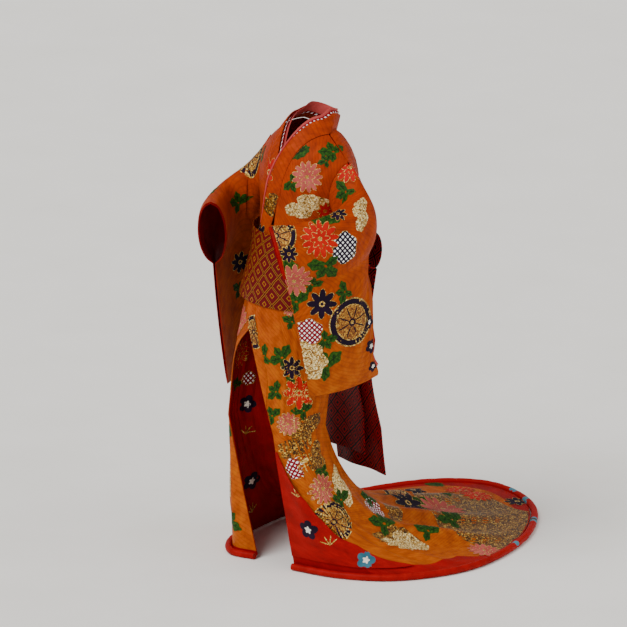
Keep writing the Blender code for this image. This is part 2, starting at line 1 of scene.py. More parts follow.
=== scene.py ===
"""The looks of a worn trailing kimono with its obi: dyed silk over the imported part, its linings, collars and
belt, and the flowers, clouds and wheels on it. Lengths are metres, and the shoulders that carry the robe are
at the origin."""

import math
from collections import namedtuple

import bmesh
import bpy
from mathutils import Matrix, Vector
from mathutils.bvhtree import BVHTree


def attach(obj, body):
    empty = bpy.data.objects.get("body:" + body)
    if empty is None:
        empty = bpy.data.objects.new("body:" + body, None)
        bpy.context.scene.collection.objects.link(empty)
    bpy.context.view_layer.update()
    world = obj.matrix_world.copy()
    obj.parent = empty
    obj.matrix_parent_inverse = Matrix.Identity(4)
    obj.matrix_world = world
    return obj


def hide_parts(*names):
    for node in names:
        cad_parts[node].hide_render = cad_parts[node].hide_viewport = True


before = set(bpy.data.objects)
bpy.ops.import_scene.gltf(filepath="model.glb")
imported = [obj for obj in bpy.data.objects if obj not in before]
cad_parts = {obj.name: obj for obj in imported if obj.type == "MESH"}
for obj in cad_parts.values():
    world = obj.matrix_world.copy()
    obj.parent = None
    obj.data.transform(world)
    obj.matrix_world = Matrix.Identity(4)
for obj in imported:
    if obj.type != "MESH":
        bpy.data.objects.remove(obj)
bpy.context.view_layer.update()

# The form, as in the part's source

HELD_AT = Vector((0.0, 0.13, 1.24))     # where the shoulders carry the garment, seen from the feet
WALL = 0.0022                           # cloth and its backing
GAP = 0.0004                            # between pieces that touch
LAP = 0.008                             # how far the lapped fronts stand off the body's own line
SHOULDER_HALF = 0.178
NECK_HALF = 0.089
NECK_HEIGHT = 1.30
SHOULDER_SLOPE = 0.72
BACK_NECK_DROP = 0.42                   # how far down the rounding of the shoulder the back neckline dips
COLLAR_THICK = 0.0036
EDGE_THICK, EDGE_CLEAR = 0.0012, 0.0006     # the thin strips sewn inside the sleeves' openings
CUFF_DOWN = 0.15                        # half the wrist opening, as a share of the way round a sleeve
FURI_SHOWS = 0.035                      # how far each strip shows past the one outside it, along the sleeve
FURI_FROM, FURI_TO = 0.26, 0.48         # down the outer sheet
HEM_RADIUS = 0.0105
SIDE_RIGHT, BACK_CENTRE, SIDE_LEFT = 0.24, 0.48, 0.72

# Horizontal sections of the body, top to bottom. Angles are in degrees round from the right side's front
# seam: 270 is the right side, 360 the back, 450 the left side. seam is where the left front's edge meets its
# collar, lap the angle that the collar band adds, and right the same seam on the right front.
CHEST, KNEE, HEM = 1.0, 6.0, 7.0
LEVELS = (
    # height, centre_y, half_width, half_depth, seam, lap, right, lap_right
    (1.120, 0.120, 0.170, 0.130, 526.0, 19.0, 194.0, 19.0),
    (1.020, 0.108, 0.160, 0.115, 539.0, 19.0, 181.0, 19.0),
    (0.920, 0.085, 0.148, 0.106, 553.0, 19.0, 168.0, 18.0),
    (0.780, 0.058, 0.163, 0.118, 541.0, 15.0, 182.0, 15.0),
    (0.600, 0.026, 0.166, 0.118, 516.0, 12.0, 238.0, 10.0),
    (0.420, 0.000, 0.165, 0.116, 489.0, 11.0, 247.0, 9.0),
)

# The hem on the floor, from the right front's corner round the train to the left front's corner.
HEM_LINE = (
    # s, x, y
    (0.00, -0.045, -0.030),
    (0.06, -0.125, -0.050),
    (0.13, -0.215, 0.035),
    (0.24, -0.310, 0.270),
    (0.33, -0.345, 0.520),
    (0.41, -0.300, 0.790),
    (0.48, -0.170, 0.920),
    (0.56, 0.055, 0.885),
    (0.64, 0.260, 0.710),
    (0.72, 0.385, 0.490),
    (0.79, 0.415, 0.320),
    (0.86, 0.365, 0.150),
    (0.93, 0.250, 0.045),
    (1.00, 0.105, -0.010),
)

# The skirt's largest folds, each a soft ridge that grows towards the hem.
FOLDS = (
    # s, half_width, depth_at_knee, depth_at_hem
    (0.05, 0.016, 0.012, 0.014),
    (0.11, 0.014, 0.012, 0.016),
    (0.18, 0.020, 0.012, 0.020),
    (0.27, 0.018, 0.016, 0.028),
    (0.35, 0.022, 0.014, 0.034),
    (0.43, 0.016, 0.018, 0.024),
    (0.50, 0.022, 0.014, 0.036),
    (0.58, 0.018, 0.018, 0.028),
    (0.65, 0.020, 0.013, 0.034),
    (0.755, 0.014, 0.016, 0.022),
    (0.81, 0.018, 0.014, 0.018),
    (0.87, 0.016, 0.014, 0.010),
    (0.94, 0.016, 0.014, 0.008),
)

# The sleeves, from the body (along 0) to the wrist (along 1). facing is the way the outer sheet looks, in
# degrees from straight out towards the front; arm and bag are half thicknesses at the arm and in the hanging
# part.
SLEEVE_LEFT = (
    # along, top_x, top_y, top_z, low_x, low_y, low_z, facing, arm, bag
    (-0.30, 0.186, 0.150, 1.222, 0.250, 0.232, 0.592, -6.0, 0.050, 0.038),
    (0.00, 0.186, 0.130, 1.222, 0.258, 0.168, 0.588, -6.0, 0.050, 0.038),
    (0.30, 0.236, 0.116, 1.165, 0.268, 0.108, 0.579, -14.0, 0.052, 0.030),
    (0.62, 0.262, 0.020, 1.115, 0.274, 0.030, 0.573, 6.0, 0.052, 0.022),
    (0.86, 0.218, -0.095, 1.090, 0.270, -0.045, 0.573, 20.0, 0.048, 0.012),
    (1.00, 0.168, -0.155, 1.082, 0.264, -0.085, 0.576, 31.0, 0.046, 0.0036),
)
SLEEVE_RIGHT = (
    # along, top_x, top_y, top_z, low_x, low_y, low_z, facing, arm, bag
    (-0.30, -0.186, 0.150, 1.222, -0.262, 0.220, 0.526, -6.0, 0.050, 0.030),
    (0.00, -0.186, 0.130, 1.222, -0.262, 0.165, 0.520, -6.0, 0.050, 0.030),
    (0.30, -0.226, 0.092, 1.145, -0.262, 0.108, 0.508, -16.0, 0.044, 0.026),
    (0.62, -0.244, 0.004, 1.085, -0.246, 0.050, 0.497, 16.0, 0.042, 0.020),
    (0.86, -0.175, -0.095, 1.078, -0.218, 0.010, 0.490, 40.0, 0.044, 0.010),
    (1.00, -0.112, -0.150, 1.086, -0.200, -0.020, 0.488, 52.0, 0.042, 0.0036),
)
ARMHOLE_LOW = 1.70                      # the level where the armhole ends
ARMHOLE_HALF = 0.075                    # its half width, as a share of the way round
ARM_CLEAR = 0.30                        # along the sleeve, where the arm is clear of the body
ARM_TURN, ARM_TURNED = 80.0, 0.55       # degrees the arm's part turns towards the armhole, and from where
ARMHOLE_CLEAR = 0.0034                  # the sleeve's edge bridges the panels' curve, a little off them
FURI_PARTED = 0.22                      # how far the two sheets part at the open body side, along the sleeve
SLEEVE_SEWN = 0.33                      # the share of the sleeve's depth that is sewn to the body

# The collar and the two inner collars: where each lies between two shares of the collar's width, and between
# two moves off the fronts' faces.
COLLAR_BANDS = (
    # name, low_level, start, end, inner, outer, ink, slot
    ("collar", 5.6, 0.0, 1.0, -0.0008, COLLAR_THICK - 0.0008, "silk", "collar"),
    ("collar_dotted", 2.5, 0.40, 1.17, -0.0062, -0.0044, "collar_dots", "lining"),
    ("collar_pink", 2.5, 0.60, 1.34, -0.0110, -0.0092, "pink", "pink"),
)
NAPE = (0.0, 0.018, 0.046)              # from the neckline to the collar's free edge, at the nape
NECK_SIDE = (0.030, 0.004, 0.038)       # and at the sides of the neck, its first length turned inwards

OBI_TOP, OBI_LOW, OBI_THICK = 0.990, 0.790, 0.004
OBI_CLEAR = LAP + COLLAR_THICK + 0.0008   # off the body's line, just over the lapped collar
LOOP_HALF = (0.135, 0.030, 0.055)       # the knot's half length, depth and height
LOOP_HEIGHT = 0.930
KNOT_X = 0.02                           # the knot sits a little to the wearer's left
END_WIDTH, END_THICK = 0.235, 0.003
END_SEAT = 0.0008                       # from the knot's rounded underside to the hanging ends
END_RIPPLE, END_BEND = 0.004, 0.030     # how far the ends wave across, and how far they bend in to the skirt
OBI_ENDS = (
    # name, x, behind, low, sway
    ("obi_end_long", 0.050, 0.0060, 0.245, 0.030),
    ("obi_end_short", -0.005, -0.0058, 0.300, 0.008),
)

ROWS_TOP = (0.0, 0.22, 0.46, 0.72)
ROWS_BODY = (1.0, 1.5, 2.0, 2.5, 3.0, 3.45, 3.9, 4.35, 4.8, 5.2, 5.6, 6.0)
ROWS_SKIRT = (6.12, 6.26, 6.40, 6.52, 6.63, 6.73, 6.82, 6.91, 7.0)
ROWS = ROWS_TOP + ROWS_BODY + ROWS_SKIRT
LINING_FROM = 3.45
COLLAR_NARROWS, COLLAR_ENDS = 5.0, 5.7   # where the collar runs out to nothing on the fronts' edges
TOP_ROW = 0.012                         # just under the shoulder line, so that fronts and backs stay apart
SEAM_HALF = 0.0002                      # half a seam's gap
TURNED_FROM = 6.12
TURNED_WIDTH = 0.21
TURNED_LIFT = 0.006
TURNED_TO = 6.92                       # clear of the hem roll

LEVEL_ROWS = tuple((CHEST + i, *row) for i, row in enumerate(LEVELS))
RIDGE_SEAM, RIDGE_LAP = 510.0, 11.5
EVEN_SPREAD = 2.0                       # metres to one whole way round, where the folds have their full depth
FOLDS_FROM = 3.6
SLEEVE_STEPS = (0.0, 0.02, 0.05, 0.085, 0.125, 0.148, 0.165, 0.185, 0.22, 0.27, 0.34, 0.41, 0.47, 0.492)
SLEEVE_RINGS = (0.0, 0.15, 0.30, 0.44, 0.58, 0.70, 0.82, 0.92, 0.985)


# What the shells and the figures add

SKIN = 0.0002                           # how far a shell keeps inside the part's wall
SHARP_ANGLE = 60.0                      # degrees: sharper edges than this stay crisp
POINTED = 0.3                           # a cut that fills less than this of its frame runs to a point
COLLAR_ACROSS = (0.0, 0.03, 0.12, 0.3, 0.5, 0.7, 0.88, 0.97, 1.0)
SLEEVE_BOTTOM = (0.4965, 0.5, 0.5035)   # extra points round a sleeve's bottom fold
CUFF_FROM = 0.92                        # along the sleeve, where the cuff's band begins
HEM_CORNERS, STITCHED = 16, 0.94        # points round the padded hem, and how far a stitch draws it in
HEM_STATION = 0.012                     # from one ring of points to the next along the padded hem
OBI_ROWS, OBI_TURNS = 25, 120           # how finely the belt's band is divided
KNOT_ROWS, KNOT_TURNS = 49, 64          # its knot
END_ROWS, END_COLUMNS = 41, 9           # and its hanging ends
OBI_SOFT = 0.0010                       # how far the belt's edges round off
OBI_CREASE = (0.0008, 0.62, 0.03)       # the belt's one crease: depth, share of the way down, half width
CRUMPLE = (0.05, 9.0, 0.03)             # the knot's gathers: depth, how many, and half width
FINE_ROWS, FINE_COLUMNS = 3, 4          # how much finer the shells are than the part
RING_STEP = 0.006                       # between the rings of points in a figure
RED_HEMS = ("front_left", "okumi_left")   # where the red lining is rolled out a little over the hem
GOLD_LINE = 0.0013                      # the couched thread round each shape
FIGURE_LIFT, LAYER_LIFT = 0.0004, 0.00011   # a figure's height over the cloth, and that of each further layer
DROP = 0.05                             # how far off its own plane a figure may follow the folds
NEAR = 0.012                            # how far round a figure's middle its plane is measured
STEEP = 0.2                             # cosine of the steepest slope that a figure covers

# The photograph's view: an orthographic one, from the left and a little above
PIXEL = 0.0029
IMAGE = 627
AZIMUTH, ELEVATION = 52.0, 17.0
EYE_BACK = 5.0
FEET_PX, FEET_PY = 275.0, 560.0         # where the point between the feet falls in the photograph

# The draped cloth: small creases on top of the large folds

CREASES = (
    # s_high, v_high, s_low, v_low, half_width, depth
    (0.96, 0.05, 0.86, 1.90, 0.016, 0.0045),
    (0.90, 0.15, 0.80, 1.90, 0.014, 0.0040),
    (0.84, 0.40, 0.93, 1.75, 0.012, -0.0032),
    (0.56, 0.30, 0.53, 1.70, 0.016, 0.0035),
    (0.40, 0.30, 0.43, 1.70, 0.016, 0.0035),
    (0.12, 0.20, 0.18, 1.80, 0.015, 0.0035),
    (0.90, 4.20, 0.91, 6.95, 0.010, 0.0050),
    (0.84, 4.20, 0.835, 6.60, 0.008, 0.0042),
    (0.78, 4.30, 0.785, 6.90, 0.009, 0.0050),
    (0.70, 4.30, 0.69, 6.80, 0.009, 0.0052),
    (0.62, 4.30, 0.615, 6.95, 0.010, 0.0060),
    (0.54, 4.30, 0.545, 6.90, 0.009, 0.0060),
    (0.46, 4.30, 0.465, 6.95, 0.009, 0.0060),
    (0.39, 4.30, 0.385, 6.90, 0.009, 0.0060),
    (0.31, 4.30, 0.305, 6.85, 0.009, 0.0052),
    (0.22, 4.30, 0.225, 6.90, 0.009, 0.0046),
    (0.14, 4.40, 0.145, 6.90, 0.008, 0.0040),
    (0.60, 6.45, 0.52, 6.98, 0.018, 0.0070),
    (0.70, 6.45, 0.64, 6.98, 0.016, 0.0060),
    (0.44, 6.50, 0.50, 6.98, 0.018, 0.0060),
    (0.36, 6.50, 0.42, 6.97, 0.018, 0.0060),
)
SLEEVE_CREASES = (
    # u_high, k_high, u_low, k_low, half_width, depth
    (0.30, 0.02, 0.60, 0.17, 0.045, -0.0040),
    (0.55, 0.02, 0.72, 0.18, 0.040, -0.0035),
    (0.80, 0.04, 0.86, 0.18, 0.035, -0.0028),
    (0.42, 0.16, 0.34, 0.47, 0.050, 0.0035),
    (0.70, 0.18, 0.62, 0.46, 0.045, 0.0030),
    (0.20, 0.18, 0.16, 0.46, 0.045, 0.0032),
    (0.40, 0.84, 0.36, 0.53, 0.050, 0.0032),
    (0.68, 0.82, 0.62, 0.54, 0.045, 0.0030),
)


def crease_height(creases, across, down):
    """How far the small creases raise a place on the cloth."""
    total = 0.0
    for start, high, end, low, half_width, depth in creases:
        t = (down - high) / (low - high)
        if 0.0 < t < 1.0:
            away = (across - mix(start, end, t)) / half_width
            total += depth * math.sin(math.pi * t) ** 0.7 * math.exp(-away * away)
    return total


def finer(values, times):
    """Puts further places between the given ones."""
    made = []
    for first, last in zip(values, values[1:]):
        made += [mix(first, last, i / times) for i in range(times)]
    return made + [values[-1]]


# The surfaces, as in the part's source

def smoothstep(low, high, value):
    share = min(1.0, max(0.0, (value - low) / (high - low)))
    return share * share * (3.0 - 2.0 * share)


def mix(first, second, share):
    return first + (second - first) * share


def curve_through(rows, where):
    """Reads a smooth curve through a table whose first column says where each row lies."""
    last = len(rows) - 1
    where = min(max(where, rows[0][0]), rows[last][0])
    i = 0
    while i < last - 1 and rows[i + 1][0] <= where:
        i += 1
    before, start, end, after = rows[max(i - 1, 0)], rows[i], rows[i + 1], rows[min(i + 2, last)]
    span = end[0] - start[0]
    t = (where - start[0]) / span
    values = []
    for c in range(1, len(start)):
        slope_in = (end[c] - before[c]) / (end[0] - before[0]) * span
        slope_out = (after[c] - start[c]) / (after[0] - start[0]) * span
        rise = end[c] - start[c]
        curve = slope_in * (t - 2 * t ** 2 + t ** 3) + slope_out * (t ** 3 - t ** 2)
        values.append(start[c] + curve + rise * (3 * t ** 2 - 2 * t ** 3))
    return values


def edge_angles(v):
    """Gives the two front seams and the collar's share beyond each, at a level."""
    seam, lap, right, lap_right = curve_through(LEVEL_ROWS, max(v, CHEST))[4:]
    ended = smoothstep(COLLAR_NARROWS, COLLAR_ENDS, v)
    seam, right = seam + lap * ended, right - lap_right * ended
    lap, lap_right = lap * (1.0 - ended), lap_right * (1.0 - ended)
    if v < CHEST:
        share = smoothstep(0.0, 1.0, 1.0 - v) * 0.5 + (1.0 - v) * 0.5
        seam, right = mix(seam, RIDGE_SEAM, share), mix(right, 720.0 - RIDGE_SEAM, share)
        lap, lap_right = mix(lap, RIDGE_LAP, share), mix(lap_right, RIDGE_LAP, share)
    return right, lap_right, seam, lap


def angle_at(s, v):
    """Turns the share of the way round into an angle. Below 0 and above 1 lie the collar bands."""
    right, lap_right, seam, lap = edge_angles(v)
    if s < 0.0:
        return right + s * lap_right
    if s > 1.0:
        return seam + (s - 1.0) * lap
    stops = ((0.0, right), (SIDE_RIGHT, 270.0), (BACK_CENTRE, 360.0), (SIDE_LEFT, 450.0), (1.0, seam))
    return curve_through(stops, s)[0]


def ring_point(angle, v, out=0.0):
    """A point of the plain body ring, seen from the feet."""
    height, centre_y, half_width, half_depth = curve_through(LEVEL_ROWS, max(v, CHEST))[:4]
    turn = math.radians(angle)
    x = (half_width + out) * math.sin(turn)
    y = centre_y + (half_depth + out) * math.cos(turn)
    if v >= CHEST:
        return Vector((x, y, height))
    rise = math.radians(90.0 * (1.0 - v))
    ridge_x = (SHOULDER_HALF + out) * math.sin(turn)
    ridge_y = HELD_AT.y
    ridge_z = NECK_HEIGHT + out - SHOULDER_SLOPE * max(0.0, abs(ridge_x) - 0.07)
    share = 1.0 - v
    centre = mix(centre_y, ridge_y, share)
    return Vector((mix(x, ridge_x, share), centre + (y - centre_y) * math.cos(rise),
                   mix(height, ridge_z, math.sin(rise))))


def lap_offset(s, v):
    """The left front lies over the right one, so the two stand apart where they cross."""
    fade = smoothstep(0.0, 0.6, v) * (1.0 - smoothstep(4.2, 5.2, v))
    return LAP * fade * (smoothstep(SIDE_LEFT, 0.86, s) - (1.0 - smoothstep(0.14, SIDE_RIGHT, s)))


def fold_height(s, share):
    """The folds' height at a place round the robe, where share runs from 0 at the knee to 1 at the hem."""
    total = 0.0
    for place, half_width, at_knee, at_hem in FOLDS:
        away = (s - place) / half_width
        total += mix(at_knee, at_hem, share) * math.exp(-away * away)
    return total


def plain_point(s, v):
    """The robe's outer face without its folds: a stack of rings, then curves that run out on the floor."""
    if v <= KNEE:
        return ring_point(angle_at(s, v), v, lap_offset(s, v))
    knee = ring_point(angle_at(s, KNEE), KNEE)
    hem = Vector((*curve_through(HEM_LINE, s), HEM_RADIUS))
    reach = hem - knee
    reach.z = 0.0
    flowing = smoothstep(0.05, 0.60, reach.length)
    down = knee + reach * mix(0.33, 0.07, flowing)
    down.z = mix(0.66, 0.52, flowing) * knee.z
    touch = knee + reach * mix(0.66, 0.26, flowing)
    touch.z = mix(0.35 * knee.z, 0.020, flowing)
    t = v - KNEE
    return knee * (1 - t) ** 3 + down * (3 * t * (1 - t) ** 2) + touch * (3 * t ** 2 * (1 - t)) + hem * t ** 3


def body_point(s, v):
    """The outer face of the whole robe: s runs round it from edge to edge, v from the shoulder to the hem."""
    point = plain_point(s, v)
    inside = min(max(s, 0.0), 1.0)
    low, high = max(inside - 0.004, 0.0), min(inside + 0.004, 1.0)
    along = (plain_point(high, v) - plain_point(low, v)) / (high - low)
    t = max(0.0, v - KNEE)
    lift = fold_height(s, t) * min(1.0, along.length / EVEN_SPREAD)
    lift *= smoothstep(FOLDS_FROM, KNEE, v) * (1.0 - smoothstep(0.75, 1.0, t))
    lift += crease_height(CREASES, inside, v)
    turn = math.radians(angle_at(s, min(v, KNEE)))
    outward = Vector((math.sin(turn), math.cos(turn), 0.0))
    lying = smoothstep(0.30, 0.85, t) * smoothstep(0.45, 0.10, point.z / LEVELS[-1][0])
    return point + outward.lerp(Vector((0.0, 0.0, 1.0)), lying).normalized() * lift


def face_normal(surface, u, v, step=0.004):
    along = surface(u + step, v) - surface(u - step, v)
    down = surface(u, min(v + step, HEM)) - surface(u, max(v - step, 0.0))
    return along.cross(down).normalized()


def spaced(first, last, count):
    return [mix(first, last, i / (count - 1)) for i in range(count)]


def armhole(v):
    """How far each panel's edge keeps from the side seam, to leave the armhole open."""
    if v >= ARMHOLE_LOW:
        return 0.0
    return ARMHOLE_HALF * math.sin(math.pi * min(1.0, (v + 0.04) / (ARMHOLE_LOW + 0.04))) ** 0.7


def okumi_seam(v):
    return mix(1.0, 0.885, smoothstep(1.2, 5.0, v))


def neck_top(s):
    """The level where a back panel begins: 0 on the shoulder, lower across the neck."""
    x = SHOULDER_HALF * math.sin(math.radians(angle_at(s, 0.0)))
    return BACK_NECK_DROP * max(0.0, 1.0 - (x / NECK_HALF) ** 2)


def back_surface(s, v):
    """The body's surface with the levels above the chest pressed down under the back neckline."""
    if v >= CHEST:
        return body_point(s, v)
    top = neck_top(min(max(s, SIDE_RIGHT), SIDE_LEFT))
    return body_point(s, mix(top, CHEST, v))


def seam_share(s, v):
    """Half a seam's gap as a share of the way round, at a place on the robe."""
    return SEAM_HALF * 0.002 / (body_point(s + 0.001, v) - body_point(s - 0.001, v)).length


def back_left(v):
    side = SIDE_LEFT - seam_share(SIDE_LEFT, v) - 0.85 * armhole(v)
    return spaced(BACK_CENTRE + seam_share(BACK_CENTRE, v), side, 13)


def back_right(v):
    return [2 * BACK_CENTRE - s for s in reversed(back_left(v))]


def front_left(v):
    side = SIDE_LEFT + seam_share(SIDE_LEFT, v) + 0.85 * armhole(v)
    return spaced(side, okumi_seam(v) - seam_share(okumi_seam(v) - 0.01, v), 12)


def front_right(v):
    seam = 1.0 - okumi_seam(v)
    side = SIDE_RIGHT - seam_share(SIDE_RIGHT, v) - 0.85 * armhole(v)
    return spaced(seam + seam_share(seam + 0.01, v), side, 9)


def okumi_left(v):
    return spaced(okumi_seam(v) + seam_share(okumi_seam(v), v), 1.0, 7)


def okumi_right(v):
    seam = 1.0 - okumi_seam(v)
    return spaced(0.0, seam - seam_share(seam, v), 7)


def turned_surface(s, v):
    """The turned-out corner: flush at its fold, and then lying loosely over the panels."""
    lay = WALL + GAP + TURNED_LIFT * smoothstep(1.0, 0.95, s) * smoothstep(HEM + 0.02, 6.8, v)
    return body_point(s, v) + face_normal(body_point, s, v) * lay


def collar_stations(low_level, times):
    """Base point and direction to the free edge: up the left front, round the neck, down the right front."""
    nape = Vector(NAPE)
    inward, back_by, rise = NECK_SIDE
    rows = finer([max(v, TOP_ROW) for v in ROWS if v <= low_level], times)
    stations = []

    def front(side, v):
        s0, s1 = (1.0, 2.0) if side > 0 else (0.0, -1.0)
        standing = smoothstep(0.0, 0.95, 1.0 - v)
        base = body_point(s0, v)
        flat = body_point(s1, v) - base
        across = flat.lerp(Vector((-inward * side, back_by, rise)), standing)
        stations.append((base + face_normal(body_point, s0, v) * (WALL + GAP) * standing, across))

    def back(s):
        base = back_surface(s, TOP_ROW)
        x = base.x / NECK_HALF
        across = Vector((-inward * x, back_by, rise)).lerp(nape, 1.0 - x * x)
        stations.append((base + face_normal(back_surface, s, TOP_ROW) * (WALL + GAP), across))

    for v in reversed(rows):
        front(1, v)
    left = [s for s in finer(back_left(TOP_ROW), times)[1:] if back_surface(s, TOP_ROW).x < NECK_HALF - 0.002]
    for s in left[::-1] + [BACK_CENTRE] + [2 * BACK_CENTRE - s for s in left]:
        back(s)
    for v in rows:
        front(-1, v)
    return stations


def sleeve_point(table, side, u, k, inset=0.0):
    """k runs from 0 to 1 down the outer sheet and up the inner one; inset moves the point into the wall."""
    h = 2.0 * k if k <= 0.5 else 2.0 - 2.0 * k
    sheet = 1.0 if k <= 0.5 else -1.0
    parted = smoothstep(SLEEVE_SEWN, 0.62, h) * smoothstep(1.0, 0.85, h)
    place = u + sheet * FURI_PARTED * (1.0 - u) ** 2 * parted
    tx, ty, tz, lx, ly, lz, facing, arm, bag = curve_through(table, place)
    top, low = Vector((tx, ty, tz - inset)), Vector((lx, ly, lz + inset))
    round_arm = smoothstep(ARM_TURNED, 0.0, u) * smoothstep(0.36, 0.20, h)
    turn = math.radians(facing - ARM_TURN * round_arm)
    out = Vector((side * math.cos(turn), -math.sin(turn), 0.0))
    arm_part = arm * math.sqrt(max(0.0, 1.0 - ((h - 0.17) / 0.17) ** 2)) if h < 0.34 else 0.0
    bag_part = bag * max(0.0, 1.0 - abs(2.0 * h - 1.0) ** 5) ** 0.5
    thick = (arm_part ** 4 + bag_part ** 4) ** 0.25
    thick = max(thick + crease_height(SLEEVE_CREASES, u, k) - inset, 0.0)
    bow = 0.012 * math.sin(math.pi * h) * side
    return top.lerp(low, h) + out * thick * sheet + Vector((bow, 0.0, 0.0))


def armhole_point(side, k):
    """A point of the sleeve's sewn edge, which lies on the panels just outside the armhole."""
    h = 2.0 * k if k <= 0.5 else 2.0 - 2.0 * k
    share = min(1.0, h / SLEEVE_SEWN)
    turned = 1.0 if k <= 0.5 else -1.0
    width = max(ARMHOLE_HALF * math.sin(math.pi * share) ** 0.7 if 0.0 < share < 1.0 else 0.0, 0.012 * share)
    s = (SIDE_LEFT if side > 0 else SIDE_RIGHT) - side * turned * width
    v = mix(TOP_ROW, ARMHOLE_LOW, share)
    return body_point(s, v) + face_normal(body_point, s, v) * (WALL + ARMHOLE_CLEAR)


def sleeve_surface(table, side, u, k, inset=0.0):
    """The sleeve with its upper part carried over to the armhole."""
    point = sleeve_point(table, side, u, k, inset)
    if u >= ARM_CLEAR:
        return point
    h = 2.0 * k if k <= 0.5 else 2.0 - 2.0 * k
    sewn = 1.0 - smoothstep(SLEEVE_SEWN, SLEEVE_SEWN + 0.25, h)
    free = sleeve_point(table, side, ARM_CLEAR, k, inset)
    return point.lerp(armhole_point(side, k).lerp(free, u / ARM_CLEAR), sewn)


def sleeve_inside(table, side, u, k, depth):
    """A point at a depth under the sleeve's face: square to it at the arm, straight across the bag."""
    h = 2.0 * k if k <= 0.5 else 2.0 - 2.0 * k
    step = 0.004
    along = sleeve_surface(table, side, min(u + step, 1.0), k) - sleeve_surface(table, side, u - step, k)
    down = sleeve_surface(table, side, u, (k + step) % 1.0) - sleeve_surface(table, side, u, (k - step) % 1.0)
    square = sleeve_surface(table, side, u, k) + down.cross(along).normalized() * depth * side
    return sleeve_surface(table, side, u, k, depth).lerp(square, smoothstep(0.75, 0.55, h))


def level_of(height):
    low, high = CHEST, KNEE
    for _ in range(40):
        middle = (low + high) / 2
        if curve_through(LEVEL_ROWS, middle)[0] > height:
            low = middle
        else:
            high = middle
    return low


def loop_pinch(x):
    """How far the knot's middle is drawn in, as a share of its height and depth."""
    return 1.0 - 0.22 * math.exp(-((x - KNOT_X) / 0.045) ** 2)


# Cloth meshes

def shell_faces(rows, columns, closed):
    """Quads of a thin wall: outer grid, inner grid, and the rims between them."""
    size = rows * columns
    faces = []
    for j in range(rows - 1):
        for i in range(columns if closed else columns - 1):
            k = (i + 1) % columns
            a, b, c, d = j * columns + i, j * columns + k, (j + 1) * columns + k, (j + 1) * columns + i
            faces += [(a, d, c, b), (a + size, b + size, c + size, d + size)]
    if closed:
        for i in range(columns):
            a, b = i, (i + 1) % columns
            c, d = (rows - 1) * columns + i, (rows - 1) * columns + b
            faces += [(a, b, b + size, a + size), (d, c, c + size, d + size)]
        return faces
    rim = list(range(columns)) + [j * columns + columns - 1 for j in range(1, rows)]
    rim += [(rows - 1) * columns + i for i in range(columns - 2, -1, -1)]
    rim += [j * columns for j in range(rows - 2, 0, -1)]
    return faces + [(a, b, b + size, a + size) for a, b in zip(rim, rim[1:] + rim[:1])]


def lengths(grid, closed):
    """How far each point lies from its row's and its column's start, and each row's whole length."""
    across, down, whole = [], [], []
    for j, row in enumerate(grid):
        at = 0.0
        across.append([])
        for i, point in enumerate(row):
            at += (point - row[i - 1]).length if i else 0.0
            across[j].append(at)
        whole.append(at + ((row[0] - row[-1]).length if closed else 0.0))
        down.append([down[j - 1][i] + (p - grid[j - 1][i]).length if j else 0.0 for i, p in enumerate(row)])
    return across, down, whole


def linked(name, data):
    """A new object in the scene."""
    made = bpy.data.objects.new(name, data)
    bpy.context.scene.collection.objects.link(made)
    return made


def finish_mesh(name, mesh, ink, slot, nodes):
    """Turns the faces outwards, smooths the cloth between its sharp edges, and puts it on the part."""
    shape = bmesh.new()
    shape.from_mesh(mesh)
    bmesh.ops.recalc_face_normals(shape, faces=shape.faces)
    shape.to_mesh(mesh)
    shape.free()
    mesh.shade_smooth()
    mesh.set_sharp_from_angle(angle=math.radians(SHARP_ANGLE))
    if not mesh.materials:
        mesh.materials.append(ink)
    made = linked(name, mesh)
    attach(made, "root")
    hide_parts(*nodes)
    return made


def cloth(name, outside, inside, ink, closed=False, nodes=(), slot="silk",
          inner_ink=None, hem_rows=0, from_end=False):
    """A sheet of cloth between two grids of points. Its weave is in real metres, from the rows' end if so
    asked. Its inner face and the last rows of its outer one can have an ink of their own."""
    rows, columns = len(outside), len(outside[0])
    size = rows * columns
    points = [p - HELD_AT for grid in (outside, inside) for row in grid for p in row]
    mesh = bpy.data.meshes.new(name)
    mesh.from_pydata(points, [], shell_faces(rows, columns, closed))
    across, down, whole = lengths(outside, closed)
    if from_end:
        across = [[total - at for at in row] for row, total in zip(across, whole)]
    laid = mesh.uv_layers.new(name="weave").data
    for face in mesh.polygons:
        places = [(v % size) % columns for v in face.vertices]
        wraps = closed and max(places) - min(places) > 1
        for loop, vertex, place in zip(face.loop_indices, face.vertices, places):
            row = (vertex % size) // columns
            start = whole[row] if wraps and place == 0 else across[row][place]
            laid[loop].uv = (start, down[row][place])
    if inner_ink:
        mesh.materials.append(ink)
        mesh.materials.append(inner_ink)
        for face in mesh.polygons:
            first = min(face.vertices)
            face.material_index = int(first >= size or first // columns >= rows - 1 - hem_rows)
    made = finish_mesh(name, mesh, ink, slot, nodes)
    width, length = max(whole), max(max(row) for row in down)
    area = sum(face.area for face in mesh.polygons) / 2.0
    cut = min(area, width * length)
    if cut < POINTED * width * length:
        length = 2.0 * cut / width
    return made


def laid_off(surface, rows, columns, offsets):
    """Grids of points at the given distances off a surface, one grid for each distance."""
    grids = [[] for _ in offsets]
    for v in rows:
        places = finer(columns(v), FINE_COLUMNS)
        points = [(surface(s, v), face_normal(surface, s, v)) for s in places]
        for grid, offset in zip(grids, offsets):
            grid.append([point + normal * offset for point, normal in points])
    return grids


